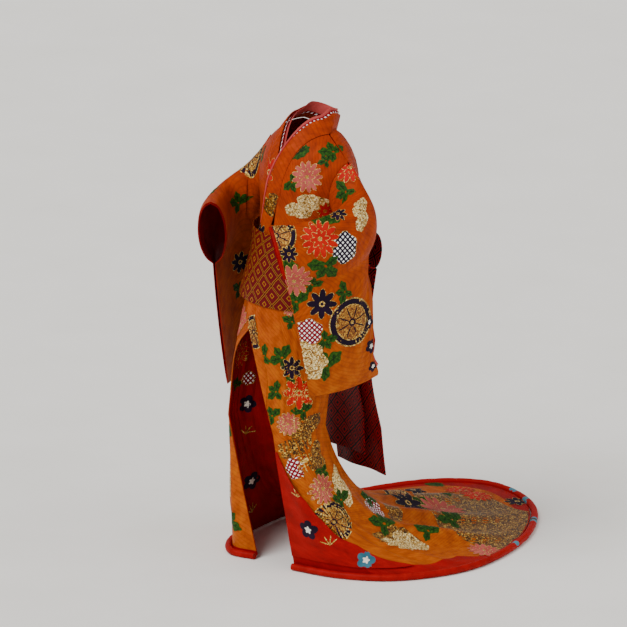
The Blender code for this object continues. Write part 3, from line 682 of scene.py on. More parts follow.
def make_panels(inks):
    """The widths of the body: the figured silk outside, and the red lining of the skirt."""
    all_rows = finer([max(v, TOP_ROW) for v in ROWS], FINE_ROWS)
    low_rows = finer([v for v in ROWS if v >= 2.0], FINE_ROWS)
    panels = (
        ("back_left", back_surface, all_rows, back_left), ("back_right", back_surface, all_rows, back_right),
        ("front_left", body_point, all_rows, front_left), ("front_right", body_point, all_rows, front_right),
        ("okumi_left", body_point, low_rows, okumi_left), ("okumi_right", body_point, low_rows, okumi_right),
    )
    offsets = (WALL - SKIN, SKIN, -GAP - SKIN, -GAP - WALL + SKIN)
    made = []
    for name, surface, rows, columns in panels:
        outer, inner, lining_outer, lining_inner = laid_off(surface, rows, columns, offsets)
        made.append(cloth("cloth_" + name, outer, inner, inks["silk"], nodes=[name],
                          inner_ink=inks["lining"], hem_rows=FINE_ROWS if name in RED_HEMS else 1))
        high = sum(v < LINING_FROM - 1e-6 for v in rows)
        made.append(cloth("cloth_lining_" + name, lining_outer[high:], lining_inner[high:], inks["lining"],
                          nodes=["lining_" + name], slot="lining"))
    return made


def make_turnback(inks):
    """The left front's lower corner, turned out."""
    def columns(v):
        share = (v - TURNED_FROM + 0.1) / (HEM - TURNED_FROM + 0.1)
        return spaced(1.0 - TURNED_WIDTH * share ** 1.3, 1.0, 14)

    rows = finer(ROWS_SKIRT[:-1] + (TURNED_TO,), FINE_ROWS)
    outer, inner = laid_off(turned_surface, rows, columns, (WALL - SKIN, SKIN))
    return cloth("cloth_turnback", outer, inner, inks["lining"], nodes=["turnback"], slot="lining")


def make_collar(name, low_level, start, end, inner, outer, ink, slot):
    """A folded band round the neck, with soft edges."""
    stations = collar_stations(low_level, FINE_ROWS)
    outside, inside = [], []
    for k, (base, across) in enumerate(stations):
        along = stations[min(k + 1, len(stations) - 1)][0] - stations[max(k - 1, 0)][0]
        out = along.cross(across).normalized()
        near = base + across.normalized() * (GAP * 2) + across * start
        far = base + across * end
        middle = (inner + outer) / 2
        outside.append([])
        inside.append([])
        for share in COLLAR_ACROSS:
            round_off = 0.45 + 0.55 * min(1.0, 8.0 * share, 8.0 * (1.0 - share))
            half = (outer - inner) / 2 * round_off
            place = near.lerp(far, share)
            outside[-1].append(place + out * (middle + half))
            inside[-1].append(place + out * (middle - half))
    return cloth("cloth_" + name, outside, inside, ink, nodes=[name], slot=slot,
                 from_end=True)


def make_collars(inks):
    """The robe's own collar and the two that show inside it."""
    return [make_collar(name, low, start, end, inner, outer, inks[ink], slot)
            for name, low, start, end, inner, outer, ink, slot in COLLAR_BANDS]


def make_sleeves(inks):
    """The two bag sleeves, each with its cuff and the strips at its open side."""
    half = finer(SLEEVE_STEPS, FINE_ROWS)
    whole = half + list(SLEEVE_BOTTOM) + [1.0 - k for k in reversed(half[1:])]
    rings = finer(SLEEVE_RINGS, FINE_COLUMNS)
    made = []
    for end, table, side in (("left", SLEEVE_LEFT, 1), ("right", SLEEVE_RIGHT, -1)):
        outside = [[sleeve_surface(table, side, u, k) for k in whole] for u in rings]
        inside = [[sleeve_inside(table, side, u, k, WALL - SKIN) for k in whole] for u in rings]
        made.append(cloth("cloth_sleeve_" + end, outside, inside, inks["silk"], closed=True,
                          nodes=["sleeve_" + end],
                          inner_ink=inks["lining"]))
        cuff = finer([k for k in SLEEVE_STEPS if k <= CUFF_DOWN], 2)
        cuff = [-k for k in reversed(cuff[1:])] + cuff
        edges = [("cuff_band_" + end, (CUFF_FROM, SLEEVE_RINGS[-1], 1.0), cuff, 0, "lining")]
        furi = finer([k for k in SLEEVE_STEPS if FURI_FROM <= k <= FURI_TO], 3)
        for layer, order in enumerate(("outer", "inner")):
            places = (-FURI_SHOWS * (layer + 1), 0.0, SLEEVE_RINGS[1])
            edges.append(("furi_" + order + "_" + end, places, furi, layer, "pink"))
        for name, places, downs, layer, slot in edges:
            depth = WALL + EDGE_CLEAR + layer * (EDGE_THICK + EDGE_CLEAR)
            across = finer(places, 3)
            outer, inner = ([[sleeve_inside(table, side, u, k % 1.0, deep) for u in across] for k in downs]
                            for deep in (depth, depth + EDGE_THICK))
            made.append(cloth("cloth_" + name, outer, inner, inks[slot], nodes=[name], slot=slot))
    return made


def make_hem_roll(inks):
    """The padded hem, drawn in a little at each stitch."""
    panels = (okumi_right, front_right, back_right, back_left, front_left, okumi_left)
    line = finer([okumi_right(HEM)[0]] + [s for panel in panels for s in panel(HEM)[1:]], FINE_COLUMNS)
    points = []
    for n, s in enumerate(line):
        ahead = body_point(min(s + 0.004, 1.0), HEM) - body_point(max(s - 0.004, 0.0), HEM)
        outward = Vector((-ahead.y, ahead.x, 0.0)).normalized()
        centre = body_point(s, HEM) + outward * (HEM_RADIUS + WALL + GAP) - HELD_AT
        radius = HEM_RADIUS * (STITCHED if n % FINE_COLUMNS == 0 else 1.0)
        for i in range(HEM_CORNERS):
            turn = math.tau * i / HEM_CORNERS
            points.append(centre + (outward * math.cos(turn) + Vector((0, 0, 1)) * math.sin(turn)) * radius)
    last = len(points) - HEM_CORNERS
    faces = [tuple(reversed(range(HEM_CORNERS))), tuple(range(last, len(points)))]
    for start in range(0, last, HEM_CORNERS):
        for i in range(HEM_CORNERS):
            a, b = start + i, start + (i + 1) % HEM_CORNERS
            faces.append((a, b, b + HEM_CORNERS, a + HEM_CORNERS))
    mesh = bpy.data.meshes.new("cloth_hem_roll")
    mesh.from_pydata(points, [], faces)
    laid = mesh.uv_layers.new(name="weave").data
    for loop in mesh.loops:
        station, corner = divmod(loop.vertex_index, HEM_CORNERS)
        laid[loop.index].uv = (station * HEM_STATION, math.sin(math.tau * corner / HEM_CORNERS) * HEM_RADIUS)
    made = finish_mesh("cloth_hem_roll", mesh, inks["hem"], "lining", ["hem_roll"])
    return made


def make_obi(inks):
    """The belt's band, with one crease round it."""
    turns = [360.0 * i / OBI_TURNS for i in range(OBI_TURNS)]
    crease, crease_at, crease_wide = OBI_CREASE
    outside, inside = [], []
    for height in spaced(OBI_TOP, OBI_LOW, OBI_ROWS):
        v = level_of(height)
        share = (OBI_TOP - height) / (OBI_TOP - OBI_LOW)
        round_off = OBI_SOFT * (1.0 - min(1.0, 10.0 * share, 10.0 * (1.0 - share)))
        fold = crease * math.exp(-((share - crease_at) / crease_wide) ** 2)
        inside.append([ring_point(turn, v, OBI_CLEAR + round_off) for turn in turns])
        outside.append([ring_point(turn, v, OBI_CLEAR + OBI_THICK - round_off - fold) for turn in turns])
    return [cloth("cloth_obi_band", outside, inside, inks["obi_gold"], closed=True, nodes=["obi_band"],
                  slot="obi")]


def make_knot(inks):
    """The knot at the back, gathered at its middle, and the two ends that hang from it."""
    length, depth, tall = LOOP_HALF
    centre_y = 0.0
    for share in spaced(-1.0, 1.0, 21):
        height = LOOP_HEIGHT + share * tall
        back = ring_point(360.0, level_of(height), OBI_CLEAR + OBI_THICK).y
        centre_y = max(centre_y, back + depth * math.sqrt(1.0 - share * share))
    deep, gathers, gather_wide = CRUMPLE
    outside, inside = [], []
    for x in spaced(KNOT_X - length, KNOT_X + length, KNOT_ROWS):
        drawn = math.exp(-((x - KNOT_X) / gather_wide) ** 2)
        outer, inner = [], []
        for i in range(KNOT_TURNS):
            turn = math.tau * i / KNOT_TURNS
            crumple = 1.0 - deep * drawn * (1.0 + math.cos(turn * gathers)) / 2.0
            side = Vector((0.0, math.cos(turn) * depth, math.sin(turn) * tall * loop_pinch(x))) * crumple
            centre = Vector((x, centre_y, LOOP_HEIGHT))
            outer.append(centre + side)
            inner.append(centre + side * (1.0 - END_THICK / side.length))
        outside.append(outer)
        inside.append(inner)
    made = [cloth("cloth_obi_loop", outside, inside, inks["obi"], closed=True, nodes=["obi_loop"], slot="obi")]
    for name, x, behind, low, sway in OBI_ENDS:
        surface = obi_end_surface(x, centre_y, behind, low, sway)
        rows = spaced(0.0, HEM, END_ROWS)
        outer, inner = laid_off(surface, rows, lambda v: spaced(0.0, 1.0, END_COLUMNS), (END_THICK, 0.0))
        made.append(cloth("cloth_" + name, outer, inner, inks["obi"], nodes=[name], slot="obi"))
    return made


def obi_end_surface(x, centre_y, behind, low, sway):
    """A hanging end: it starts under the knot, falls close to the skirt and swings out towards the train."""
    depth, tall = LOOP_HALF[1:]
    curved = math.sqrt(1.0 - (behind / depth) ** 2)

    def surface(u, v):
        share = v / HEM
        across = x + (u - 0.5) * END_WIDTH * (0.92 + 0.08 * share)
        top = LOOP_HEIGHT - tall * loop_pinch(across) * curved - END_SEAT
        ripple = END_RIPPLE * share * math.cos(2.0 * math.pi * u * 1.5)
        bend = -END_BEND * math.sin(math.pi * min(1.0, share * 1.3)) + sway * share ** 3
        return Vector((across, centre_y + behind + bend + ripple, mix(top, low, share)))

    return surface


# Materials

THREAD, RIB = 0.0011, 0.008             # from one thread to the next, and from one rib to the next
ONE_BAND = 0.314                        # the wave texture's scale that gives one band a metre
SATIN_ROUGHNESS = 0.62


def linear(code):
    """Turns a colour as seen on a screen, #RRGGBB, into the linear values that shaders use."""
    values = [int(code[i:i + 2], 16) / 255 for i in (1, 3, 5)]
    return (*[c / 12.92 if c <= 0.04045 else ((c + 0.055) / 1.055) ** 2.4 for c in values], 1.0)


def add(tree, kind, links=None, stops=(), between="LINEAR", **settings):
    """Adds a node: links gives its sockets a value or another node's output, stops the colours of a ramp."""
    made = tree.nodes.new("ShaderNode" + kind)
    for name, value in settings.items():
        setattr(made, name, value)
    for socket, source in (links or {}).items():
        if isinstance(source, bpy.types.NodeSocket):
            tree.links.new(source, made.inputs[socket])
        else:
            made.inputs[socket].default_value = source
    if stops:
        made.color_ramp.interpolation = between
        marks = made.color_ramp.elements
        while len(marks) < len(stops):
            marks.new(0.5)
        for mark, (place, colour) in zip(marks, stops):
            mark.position, mark.color = place, linear(colour)
    return made


def start_material(name, roughness, gloss=0.12, metallic=0.0):
    """A finish to which its maker adds the colour."""
    material = bpy.data.materials.new(name)
    material.use_nodes = True
    tree = material.node_tree
    shader = tree.nodes["Principled BSDF"]
    shader.inputs["Roughness"].default_value = roughness
    shader.inputs["Metallic"].default_value = metallic
    shader.inputs["IOR"].default_value = 1.5
    shader.inputs["Specular IOR Level"].default_value = gloss
    return material, tree, shader


def weave(tree, shader, strength=0.30):
    """Raised threads, and broad slanting ribs like those of a figured satin, as bump in real metres. The
    threads are about ten times coarser than real ones, which wouldn't show in a view of the whole robe."""
    place = add(tree, "UVMap", uv_map="weave").outputs["UV"]
    across, down = (add(tree, "TexWave", {"Vector": place, "Scale": ONE_BAND / THREAD, "Distortion": 0.6},
                        bands_direction=way).outputs["Fac"] for way in ("X", "Y"))
    ribs = add(tree, "TexWave", {"Vector": place, "Scale": ONE_BAND / RIB, "Distortion": 1.6,
                                           "Detail": 1.0}, bands_direction="DIAGONAL")
    threads = add(tree, "Math", {0: across, 1: down}, operation="MULTIPLY")
    slub = add(tree, "Math", {0: ribs.outputs["Fac"], 1: 1.3, 2: threads.outputs[0]},
               operation="MULTIPLY_ADD")
    bump = add(tree, "Bump", {"Strength": strength, "Distance": 0.0004, "Height": slub.outputs[0]})
    tree.links.new(bump.outputs["Normal"], shader.inputs["Normal"])
    return place, ribs.outputs["Fac"]


def blotched(tree, place, scale, stops):
    """Dye that took unevenly."""
    taken = add(tree, "TexNoise", {"Vector": place, "Scale": scale, "Detail": 5.0, "Roughness": 0.6})
    return add(tree, "ValToRGB", {"Fac": taken.outputs["Fac"]}, stops=stops).outputs["Color"]


def make_silk():
    """Orange figured silk: deeper at the shoulders, more golden in the skirt, its ribs a little darker."""
    material, tree, shader = start_material("dyed_silk", SATIN_ROUGHNESS)
    place, ribs = weave(tree, shader)
    high = blotched(tree, place, 26.0, ((0.30, "#842400"), (0.52, "#A03000"), (0.75, "#B43E00")))
    low = blotched(tree, place, 26.0, ((0.30, "#8E3800"), (0.52, "#AE4E00"), (0.75, "#C06402")))
    where = add(tree, "TexCoord").outputs["Object"]
    height = add(tree, "SeparateXYZ", {0: where}).outputs["Z"]
    share = add(tree, "MapRange", {"Value": height, "From Min": -0.10, "From Max": -0.62})
    dyed = add(tree, "Mix", {0: share.outputs[0], 6: high, 7: low}, data_type="RGBA")
    ribbed = add(tree, "ValToRGB", {"Fac": ribs}, stops=((0.0, "#C4C4C4"), (0.35, "#FFFFFF")))
    both = add(tree, "Mix", {0: 0.40, 6: dyed.outputs[2], 7: ribbed.outputs["Color"]},
               data_type="RGBA", blend_type="MULTIPLY")
    tree.links.new(both.outputs[2], shader.inputs["Base Color"])
    return material


def make_plain(name, stops, scale=18.0):
    """Plain dyed silk, slightly uneven."""
    material, tree, shader = start_material(name, SATIN_ROUGHNESS)
    place, ribs = weave(tree, shader, strength=0.25)
    tree.links.new(blotched(tree, place, scale, stops), shader.inputs["Base Color"])
    return material


def make_speckled(name, stops):
    """Couched metal thread and metal leaf: bright, dull and dark grains close together. The grains are 3 mm,
    many times coarser than real ones, so that they show in a view of the whole robe."""
    material, tree, shader = start_material(name, 0.45, gloss=0.3, metallic=0.3)
    place, ribs = weave(tree, shader, strength=0.5)
    grains = add(tree, "TexVoronoi", {"Vector": place, "Scale": 330.0, "Randomness": 1.0})
    worn = add(tree, "TexNoise", {"Vector": place, "Scale": 60.0, "Detail": 3.0})
    grain = add(tree, "SeparateColor", {0: grains.outputs["Color"]})
    value = add(tree, "Mix", {0: 0.6, 2: worn.outputs["Fac"], 3: grain.outputs[0]}, data_type="FLOAT")
    speckles = add(tree, "ValToRGB", {"Fac": value.outputs[0]}, stops=stops)
    tree.links.new(speckles.outputs["Color"], shader.inputs["Base Color"])
    return material


def cell_distance(tree, place, pitch, slant):
    """How far a place is from the middle of its square cell, 0 to 0.5, on a slanting grid."""
    turned = add(tree, "VectorRotate", {"Vector": place, "Angle": math.radians(slant)},
                 rotation_type="Z_AXIS")
    scaled = add(tree, "VectorMath", {0: turned.outputs[0], 1: (1 / pitch, 1 / pitch, 0.0)},
                 operation="MULTIPLY")
    part = add(tree, "VectorMath", {0: scaled.outputs[0]}, operation="FRACTION")
    centred = add(tree, "VectorMath", {0: part.outputs[0], 1: (0.5, 0.5, 0.0)}, operation="SUBTRACT")
    size = add(tree, "VectorMath", {0: centred.outputs[0]}, operation="ABSOLUTE")
    sides = add(tree, "SeparateXYZ", {0: size.outputs[0]})
    farthest = add(tree, "Math", {0: sides.outputs[0], 1: sides.outputs[1]}, operation="MAXIMUM")
    return farthest.outputs[0]


def make_celled(name, pitch, slant, stops):
    """A small repeat charted cell by cell: tie-dyed dots, or lozenges one inside the other."""
    material, tree, shader = start_material(name, 0.6)
    place, ribs = weave(tree, shader, strength=0.25)
    distance = cell_distance(tree, place, pitch, slant)
    cells = add(tree, "ValToRGB", {"Fac": distance}, stops=stops, between="CONSTANT")
    tree.links.new(cells.outputs["Color"], shader.inputs["Base Color"])
    return material


def make_hem_silk():
    """The padded hem's red silk, with blue-grey and brown flowers where it runs round the train."""
    material, tree, shader = start_material("padded_red_hem_silk", 0.6)
    place, ribs = weave(tree, shader, strength=0.25)
    red = blotched(tree, place, 18.0, ((0.3, "#7E0002"), (0.55, "#980203"), (0.8, "#AE0605")))
    spots = add(tree, "TexVoronoi", {"Vector": place, "Scale": 20.0, "Randomness": 0.8})
    dyed = add(tree, "ValToRGB", {"Fac": spots.outputs["Distance"]}, between="CONSTANT",
               stops=((0.0, "#4A2A08"), (0.16, "#4E8496"), (0.30, "#A00404")))
    where = add(tree, "TexCoord").outputs["Object"]
    behind = add(tree, "SeparateXYZ", {0: where}).outputs["Y"]
    share = add(tree, "MapRange", {"Value": behind, "From Min": 0.34, "From Max": 0.44})
    both = add(tree, "Mix", {0: share.outputs[0], 6: red, 7: dyed.outputs["Color"]}, data_type="RGBA")
    tree.links.new(both.outputs[2], shader.inputs["Base Color"])
    return material


def make_inks():
    """Every finish, each named for what the real one is."""
    nested = ((0.0, "#140103"), (0.12, "#A00008"), (0.24, "#140103"), (0.33, "#A00008"), (0.43, "#0A0102"))
    gilded = ((0.0, "#6A000A"), (0.10, "#9C6A16"), (0.15, "#5C0008"), (0.42, "#9C6A16"), (0.455, "#4A0006"))
    return {
        # deep orange that turns golden downwards, its fine ribs giving a soft satin life
        "silk": make_silk(),
        # a strong, plain, slightly uneven red wherever the robe opens
        "lining": make_plain("red_lining_silk", ((0.3, "#7C0002"), (0.55, "#960003"), (0.8, "#AA0205"))),
        # the same red as a thick soft border, broken by small cool flowers round the train
        "hem": make_hem_silk(),
        # a thin pale edge between two strong colours
        "pink": make_plain("pink_silk", ((0.3, "#A83A38"), (0.55, "#B84A46"), (0.8, "#C45C56"))),
        # black and wine lozenges, the darkest large surface
        "obi": make_celled("lozenge_brocade", 0.038, 45.0, nested),
        # the belt's ground, lit by thin lines of gold
        "obi_gold": make_celled("gold_lozenge_brocade", 0.040, 45.0, gilded),
        # a fine glinting line round every shape
        "gold": make_speckled("gold_outline_thread", ((0.2, "#4A2E08"), (0.42, "#9C6E1C"), (0.62, "#D8AE4A"),
                                                      (0.82, "#F2DA90"))),
        # pale, grainy mist
        "cream": make_speckled("pale_gold_leaf", ((0.2, "#5A3A10"), (0.38, "#AC7C30"), (0.56, "#DCB868"),
                                                  (0.78, "#FFEFB8"))),
        # dark mist, mostly brown with single bright grains
        "dark_gold": make_speckled("dark_gold_leaf", ((0.2, "#180A00"), (0.48, "#5A3202"), (0.68, "#9A600C"),
                                                      (0.84, "#F0C458"))),
        # old gold between the spokes and in the petals' folds
        "mottled_gold": make_speckled("mottled_gold_leaf", ((0.2, "#4A1E02"), (0.5, "#8E4E0A"),
                                                            (0.8, "#CC9A38"))),
        # warm red petals, lighter than the lining
        "red": make_plain("red_dye", ((0.3, "#9A0602"), (0.55, "#B81004"), (0.8, "#C8200A"))),
        # soft pink petals
        "flower_pink": make_plain("pink_dye", ((0.3, "#9A3A32"), (0.55, "#B4524A"), (0.8, "#C86C64"))),
        # mottled olive foliage
        "green": make_plain("green_dye", ((0.3, "#0E2606"), (0.5, "#1E440A"), (0.7, "#3E6216")), scale=120.0),
        # the leaves' veins and the pine's needles
        "dark_green": make_plain("dark_green_dye", ((0.3, "#061402"), (0.6, "#0C2006"))),
        # nearly black accents with a violet cast
        "purple": make_plain("dark_purple_dye", ((0.3, "#0C0116"), (0.55, "#18041E"), (0.8, "#260830"))),
        # small clear whites
        "white": make_plain("white_shell_pigment", ((0.3, "#D8D2C4"), (0.6, "#EEE8DC"), (0.9, "#FFFBF0"))),
        # a few cool touches
        "blue": make_plain("blue_grey_dye", ((0.3, "#1E4E62"), (0.6, "#3A7084"), (0.9, "#6496A6"))),
        # a lively ground of white specks on crimson, and one on purple
        "red_dapple": make_celled("crimson_tie_dye", 0.0105, 42.0, ((0.0, "#FFFFFF"), (0.25, "#7E0012"))),
        "dark_dapple": make_celled("purple_tie_dye", 0.0115, 42.0, ((0.0, "#FFFFFF"), (0.26, "#12011E"))),
        # one clear row of white dots beside the neck
        "collar_dots": make_celled("dotted_collar_silk", 0.0125, 0.0, ((0.0, "#FFFFFF"), (0.20, "#86000E"))),
    }


# Figures on the cloth: each is a list of round, oval or lobed spots in metres

Spot = namedtuple("Spot", "ink layer x y long wide turn lobes depth", defaults=(0.0, 0, 0.0))


def disc(ink, layer, radius, turn=0.0, lobes=0, depth=0.0):
    """A round spot in a figure's middle."""
    return Spot(ink, layer, 0, 0, radius, radius, turn, lobes, depth)


def outlined(ink, x, y, long, wide, turn=0.0, lobes=0, depth=0.0):
    """A spot with a gold thread round it."""
    return [Spot("gold", 0, x, y, long + GOLD_LINE, wide + GOLD_LINE, turn, lobes, depth),
            Spot(ink, 1, x, y, long, wide, turn, lobes, depth)]


def petals(ink, count, radius, reach, long, wide):
    """Spots set evenly round a middle, each pointing outwards."""
    made = []
    for n in range(count):
        turn = math.tau * n / count
        made += outlined(ink, radius * reach * math.cos(turn), radius * reach * math.sin(turn),
                         radius * long, radius * wide, turn)
    return made


def chrysanthemum(ink, radius):
    """Two rings of narrow petals."""
    inner = [spot._replace(layer=spot.layer + 2) for spot in petals(ink, 8, radius, 0.30, 0.22, 0.105)]
    return petals(ink, 13, radius, 0.66, 0.34, 0.145) + inner + [disc("gold", 4, radius * 0.12)]


def open_flower(ink, radius):
    """One ring of broad petals."""
    middle = [disc("gold", 2, radius * 0.20), disc(ink, 3, radius * 0.10)]
    return petals(ink, 8, radius, 0.56, 0.42, 0.20) + middle


def plum(ink, radius):
    """Five round petals."""
    bare = [spot for spot in petals(ink, 5, radius, 0.52, 0.42, 0.38) if spot.ink == ink]
    return bare + [disc("white", 2, radius * 0.30, 0.0, 5, 0.25)]


def leaves(ink, radius):
    """Four lobed leaves with their veins."""
    made = []
    for turn, reach, size in ((0.3, 0.55, 0.50), (1.5, 0.46, 0.42), (2.7, 0.55, 0.50), (4.2, 0.40, 0.40)):
        x, y = radius * reach * math.cos(turn), radius * reach * math.sin(turn)
        made.append(Spot(ink, 0, x, y, radius * size, radius * size * 0.66, turn, 5, 0.12))
        made.append(Spot("dark_green", 1, x, y, radius * size * 0.85, 0.0011, turn))
        made.append(Spot("dark_green", 1, x, y, radius * size * 0.45, 0.0010, turn + 0.9))
    return made


def pine(ink, radius):
    """A tuft of needles over a half-round ground."""
    made = [Spot(ink, 0, 0, 0, radius, radius * 0.62, 0.0, 9, 0.08)]
    for n in range(9):
        turn = math.pi * (n + 0.5) / 9
        x, y = radius * 0.45 * math.cos(turn), radius * (0.36 * math.sin(turn) - 0.1)
        made.append(Spot("dark_green", 1, x, y, radius * 0.34, 0.0011, turn))
    return made


def needles(ink, radius):
    """Four loose needles, fanned out."""
    half = radius * 0.5
    return [Spot(ink, 0, half * math.cos(turn), half * math.sin(turn), radius * 0.55, 0.0018, turn)
            for turn in (0.5, 1.2, 1.9, 2.6)]


def wheel(ink, radius):
    """A cart's wheel: rim, spokes and hub."""
    made = [disc("gold", 0, radius), disc(ink, 1, radius * 0.95), disc("gold", 2, radius * 0.74),
            disc("mottled_gold", 3, radius * 0.70)]
    for n in range(8):
        turn = math.tau * (n + 0.5) / 8
        x, y = radius * 0.42 * math.cos(turn), radius * 0.42 * math.sin(turn)
        made.append(Spot(ink, 4, x, y, radius * 0.27, radius * 0.030, turn))
    return made + [disc(ink, 4, radius * 0.16), disc("gold", 5, radius * 0.08)]


def cloud(ink, radius):
    """Banks of mist that run into one another."""
    made = []
    for x, y, size in ((-0.66, 0.06, 0.42), (-0.20, -0.08, 0.54), (0.34, 0.10, 0.50), (0.76, -0.12, 0.34),
                       (0.04, 0.36, 0.34)):
        made.append(Spot(ink, 0, radius * x, radius * y, radius * size, radius * size * 0.78, 0.0, 5, 0.06))
    return made


def ground(ink, radius):
    """One broad bank with a wavy edge, laid along the train."""
    return [Spot(ink, 0, 0, 0, radius, radius * 1.5, 0.0, 9, 0.06)]


def peony(ink, radius):
    """A full pale flower with scalloped edges, one ring of petals over the other."""
    return [disc("gold", 0, radius + GOLD_LINE, 0.0, 7, 0.10), disc(ink, 1, radius, 0.0, 7, 0.10),
            disc("mottled_gold", 2, radius * 0.64, 0.4, 6, 0.12), disc(ink, 3, radius * 0.59, 0.4, 6, 0.12),
            disc("mottled_gold", 4, radius * 0.26, 0.0, 5, 0.14), disc(ink, 5, radius * 0.21, 0.0, 5, 0.14)]


def patch(ink, radius):
    """A tie-dyed patch with a wavy edge."""
    return outlined(ink, 0, 0, radius, radius * 0.86, 0.4, 6, 0.07)


# Which figure is drawn how: its function, its ink, and how many layers of others may lie under it
FIGURES = {
    "dark_ground": (ground, "dark_gold", -1), "dark_cloud": (cloud, "dark_gold", 0),
    "cream_cloud": (cloud, "cream", 0.5), "red_patch": (patch, "red_dapple", 1),
    "dark_patch": (patch, "dark_dapple", 1), "purple_plum": (plum, "purple", 1),
    "blue_plum": (plum, "blue", 1), "needles": (needles, "gold", 1), "wheel": (wheel, "purple", 2),
    "leaves": (leaves, "green", 3), "pine": (pine, "green", 3), "peony": (peony, "cream", 3),
    "red_mum": (chrysanthemum, "red", 5), "pink_mum": (chrysanthemum, "flower_pink", 5),
    "purple_flower": (open_flower, "purple", 5), "red_flower": (open_flower, "red", 5),
}

# The side that the photograph shows
SEEN = {
    # figure: pixel_x, pixel_y, radius, turn of each
    "dark_cloud": (
        (276, 208, 0.066, 10.0), (303, 436, 0.076, 60.0), (318, 462, 0.060, 110.0),
        (396, 541, 0.085, 0.0),
    ),
    "cream_cloud": (
        (306, 207, 0.062, 20.0), (362, 214, 0.050, 75.0), (342, 486, 0.062, 120.0),
        (345, 391, 0.062, 15.0), (404, 545, 0.080, 0.0),
    ),
    "dark_ground": (
        (484, 521, 0.190, 0.0),
    ),
    "dark_patch": (
        (340, 131, 0.038, 10.0), (345, 248, 0.046, 70.0),
    ),
    "red_patch": (
        (307, 333, 0.046, 0.0), (296, 468, 0.034, 30.0), (374, 509, 0.044, 0.0), (248, 378, 0.022, 0.0),
    ),
    "wheel": (
        (276, 236, 0.060, 0.0), (352, 322, 0.074, 10.0), (254, 332, 0.050, 0.0), (334, 522, 0.062, 0.0),
    ),
    "leaves": (
        (333, 152, 0.040, 20.0), (346, 192, 0.040, 120.0), (292, 182, 0.034, 200.0),
        (326, 161, 0.024, 40.0), (327, 222, 0.044, 10.0), (326, 266, 0.052, 160.0),
        (290, 262, 0.042, 70.0), (312, 285, 0.032, 0.0), (296, 302, 0.042, 20.0),
        (325, 340, 0.036, 220.0), (292, 322, 0.030, 0.0), (282, 358, 0.042, 40.0),
        (326, 366, 0.056, 30.0), (296, 384, 0.032, 130.0), (238, 203, 0.038, 20.0),
        (345, 292, 0.034, 100.0), (264, 356, 0.034, 60.0), (276, 392, 0.032, 60.0),
        (304, 411, 0.034, 30.0), (272, 416, 0.032, 20.0), (322, 471, 0.030, 170.0),
        (341, 500, 0.040, 20.0), (368, 496, 0.044, 80.0), (384, 524, 0.052, 10.0),
        (424, 506, 0.050, 30.0), (452, 520, 0.050, 20.0), (428, 531, 0.044, 0.0), (240, 290, 0.034, 0.0),
        (236, 385, 0.028, 0.0),
    ),
    "pine": (
        (300, 152, 0.030, 30.0),
    ),
    "red_mum": (
        (350, 168, 0.046, 0.0), (320, 239, 0.056, 8.0), (239, 354, 0.042, 0.0),
    ),
    "red_flower": (
        (299, 393, 0.050, 0.0), (325, 211, 0.026, 0.0),
    ),
    "pink_mum": (
        (307, 177, 0.046, 0.0), (294, 281, 0.054, 5.0), (323, 489, 0.046, 0.0), (443, 509, 0.070, 0.0),
        (288, 424, 0.034, 0.0), (290, 308, 0.024, 0.0),
    ),
    "peony": (
        (307, 362, 0.058, 0.0),
    ),
    "purple_flower": (
        (322, 304, 0.046, 0.0), (292, 368, 0.034, 0.0), (408, 503, 0.058, 0.0), (289, 254, 0.026, 0.0),
        (338, 214, 0.026, 0.0), (240, 262, 0.034, 0.0),
    ),
    "purple_plum": (
        (247, 404, 0.030, 0.0), (252, 481, 0.034, 20.0), (308, 530, 0.034, 0.0), (369, 322, 0.022, 0.0),
        (371, 346, 0.024, 0.0), (373, 366, 0.020, 0.0),
    ),
    "needles": (
        (246, 434, 0.028, 0.0), (298, 497, 0.026, 0.0), (252, 512, 0.028, 30.0), (330, 545, 0.030, 10.0),
        (272, 528, 0.024, 0.0),
    ),
    "blue_plum": (
        (366, 560, 0.030, 0.0),
    ),
}

# The order in which the same figures are strewn over the sides that the photograph doesn't show
STREWN = (
    # figure, radius
    ("red_mum", 0.050), ("leaves", 0.044), ("cream_cloud", 0.062), ("pink_mum", 0.048), ("leaves", 0.040),
    ("wheel", 0.056), ("leaves", 0.044), ("purple_flower", 0.040), ("red_flower", 0.046), ("leaves", 0.042),
    ("peony", 0.050), ("purple_flower", 0.042), ("leaves", 0.046), ("dark_cloud", 0.064), ("pink_mum", 0.052),
    ("leaves", 0.040), ("red_patch", 0.042), ("pine", 0.036), ("red_mum", 0.046),
)
UPWARD, BACKWARD = Vector((0, 0, 1)), Vector((0, 1, 0))
OUTSIDE = 3.0                           # well outside the robe
STREWN_APART = 0.86                     # how near two may lie, as a share of their radii together
ROUND_FROM, ROUND_TO, ROUND_STEP = 145.0, 350.0, 23.0      # azimuths
HIGH, LOW, DOWN_STEP = -0.08, -1.17, 0.088                 # heights
TRAIN_X, TRAIN_Y, TRAIN_STEP = (-0.34, 0.34), (0.16, 0.90), 0.112


def uneven(count, pace, size):
    """A move that differs from one strewn figure to the next."""
    return size * math.sin(count * pace)


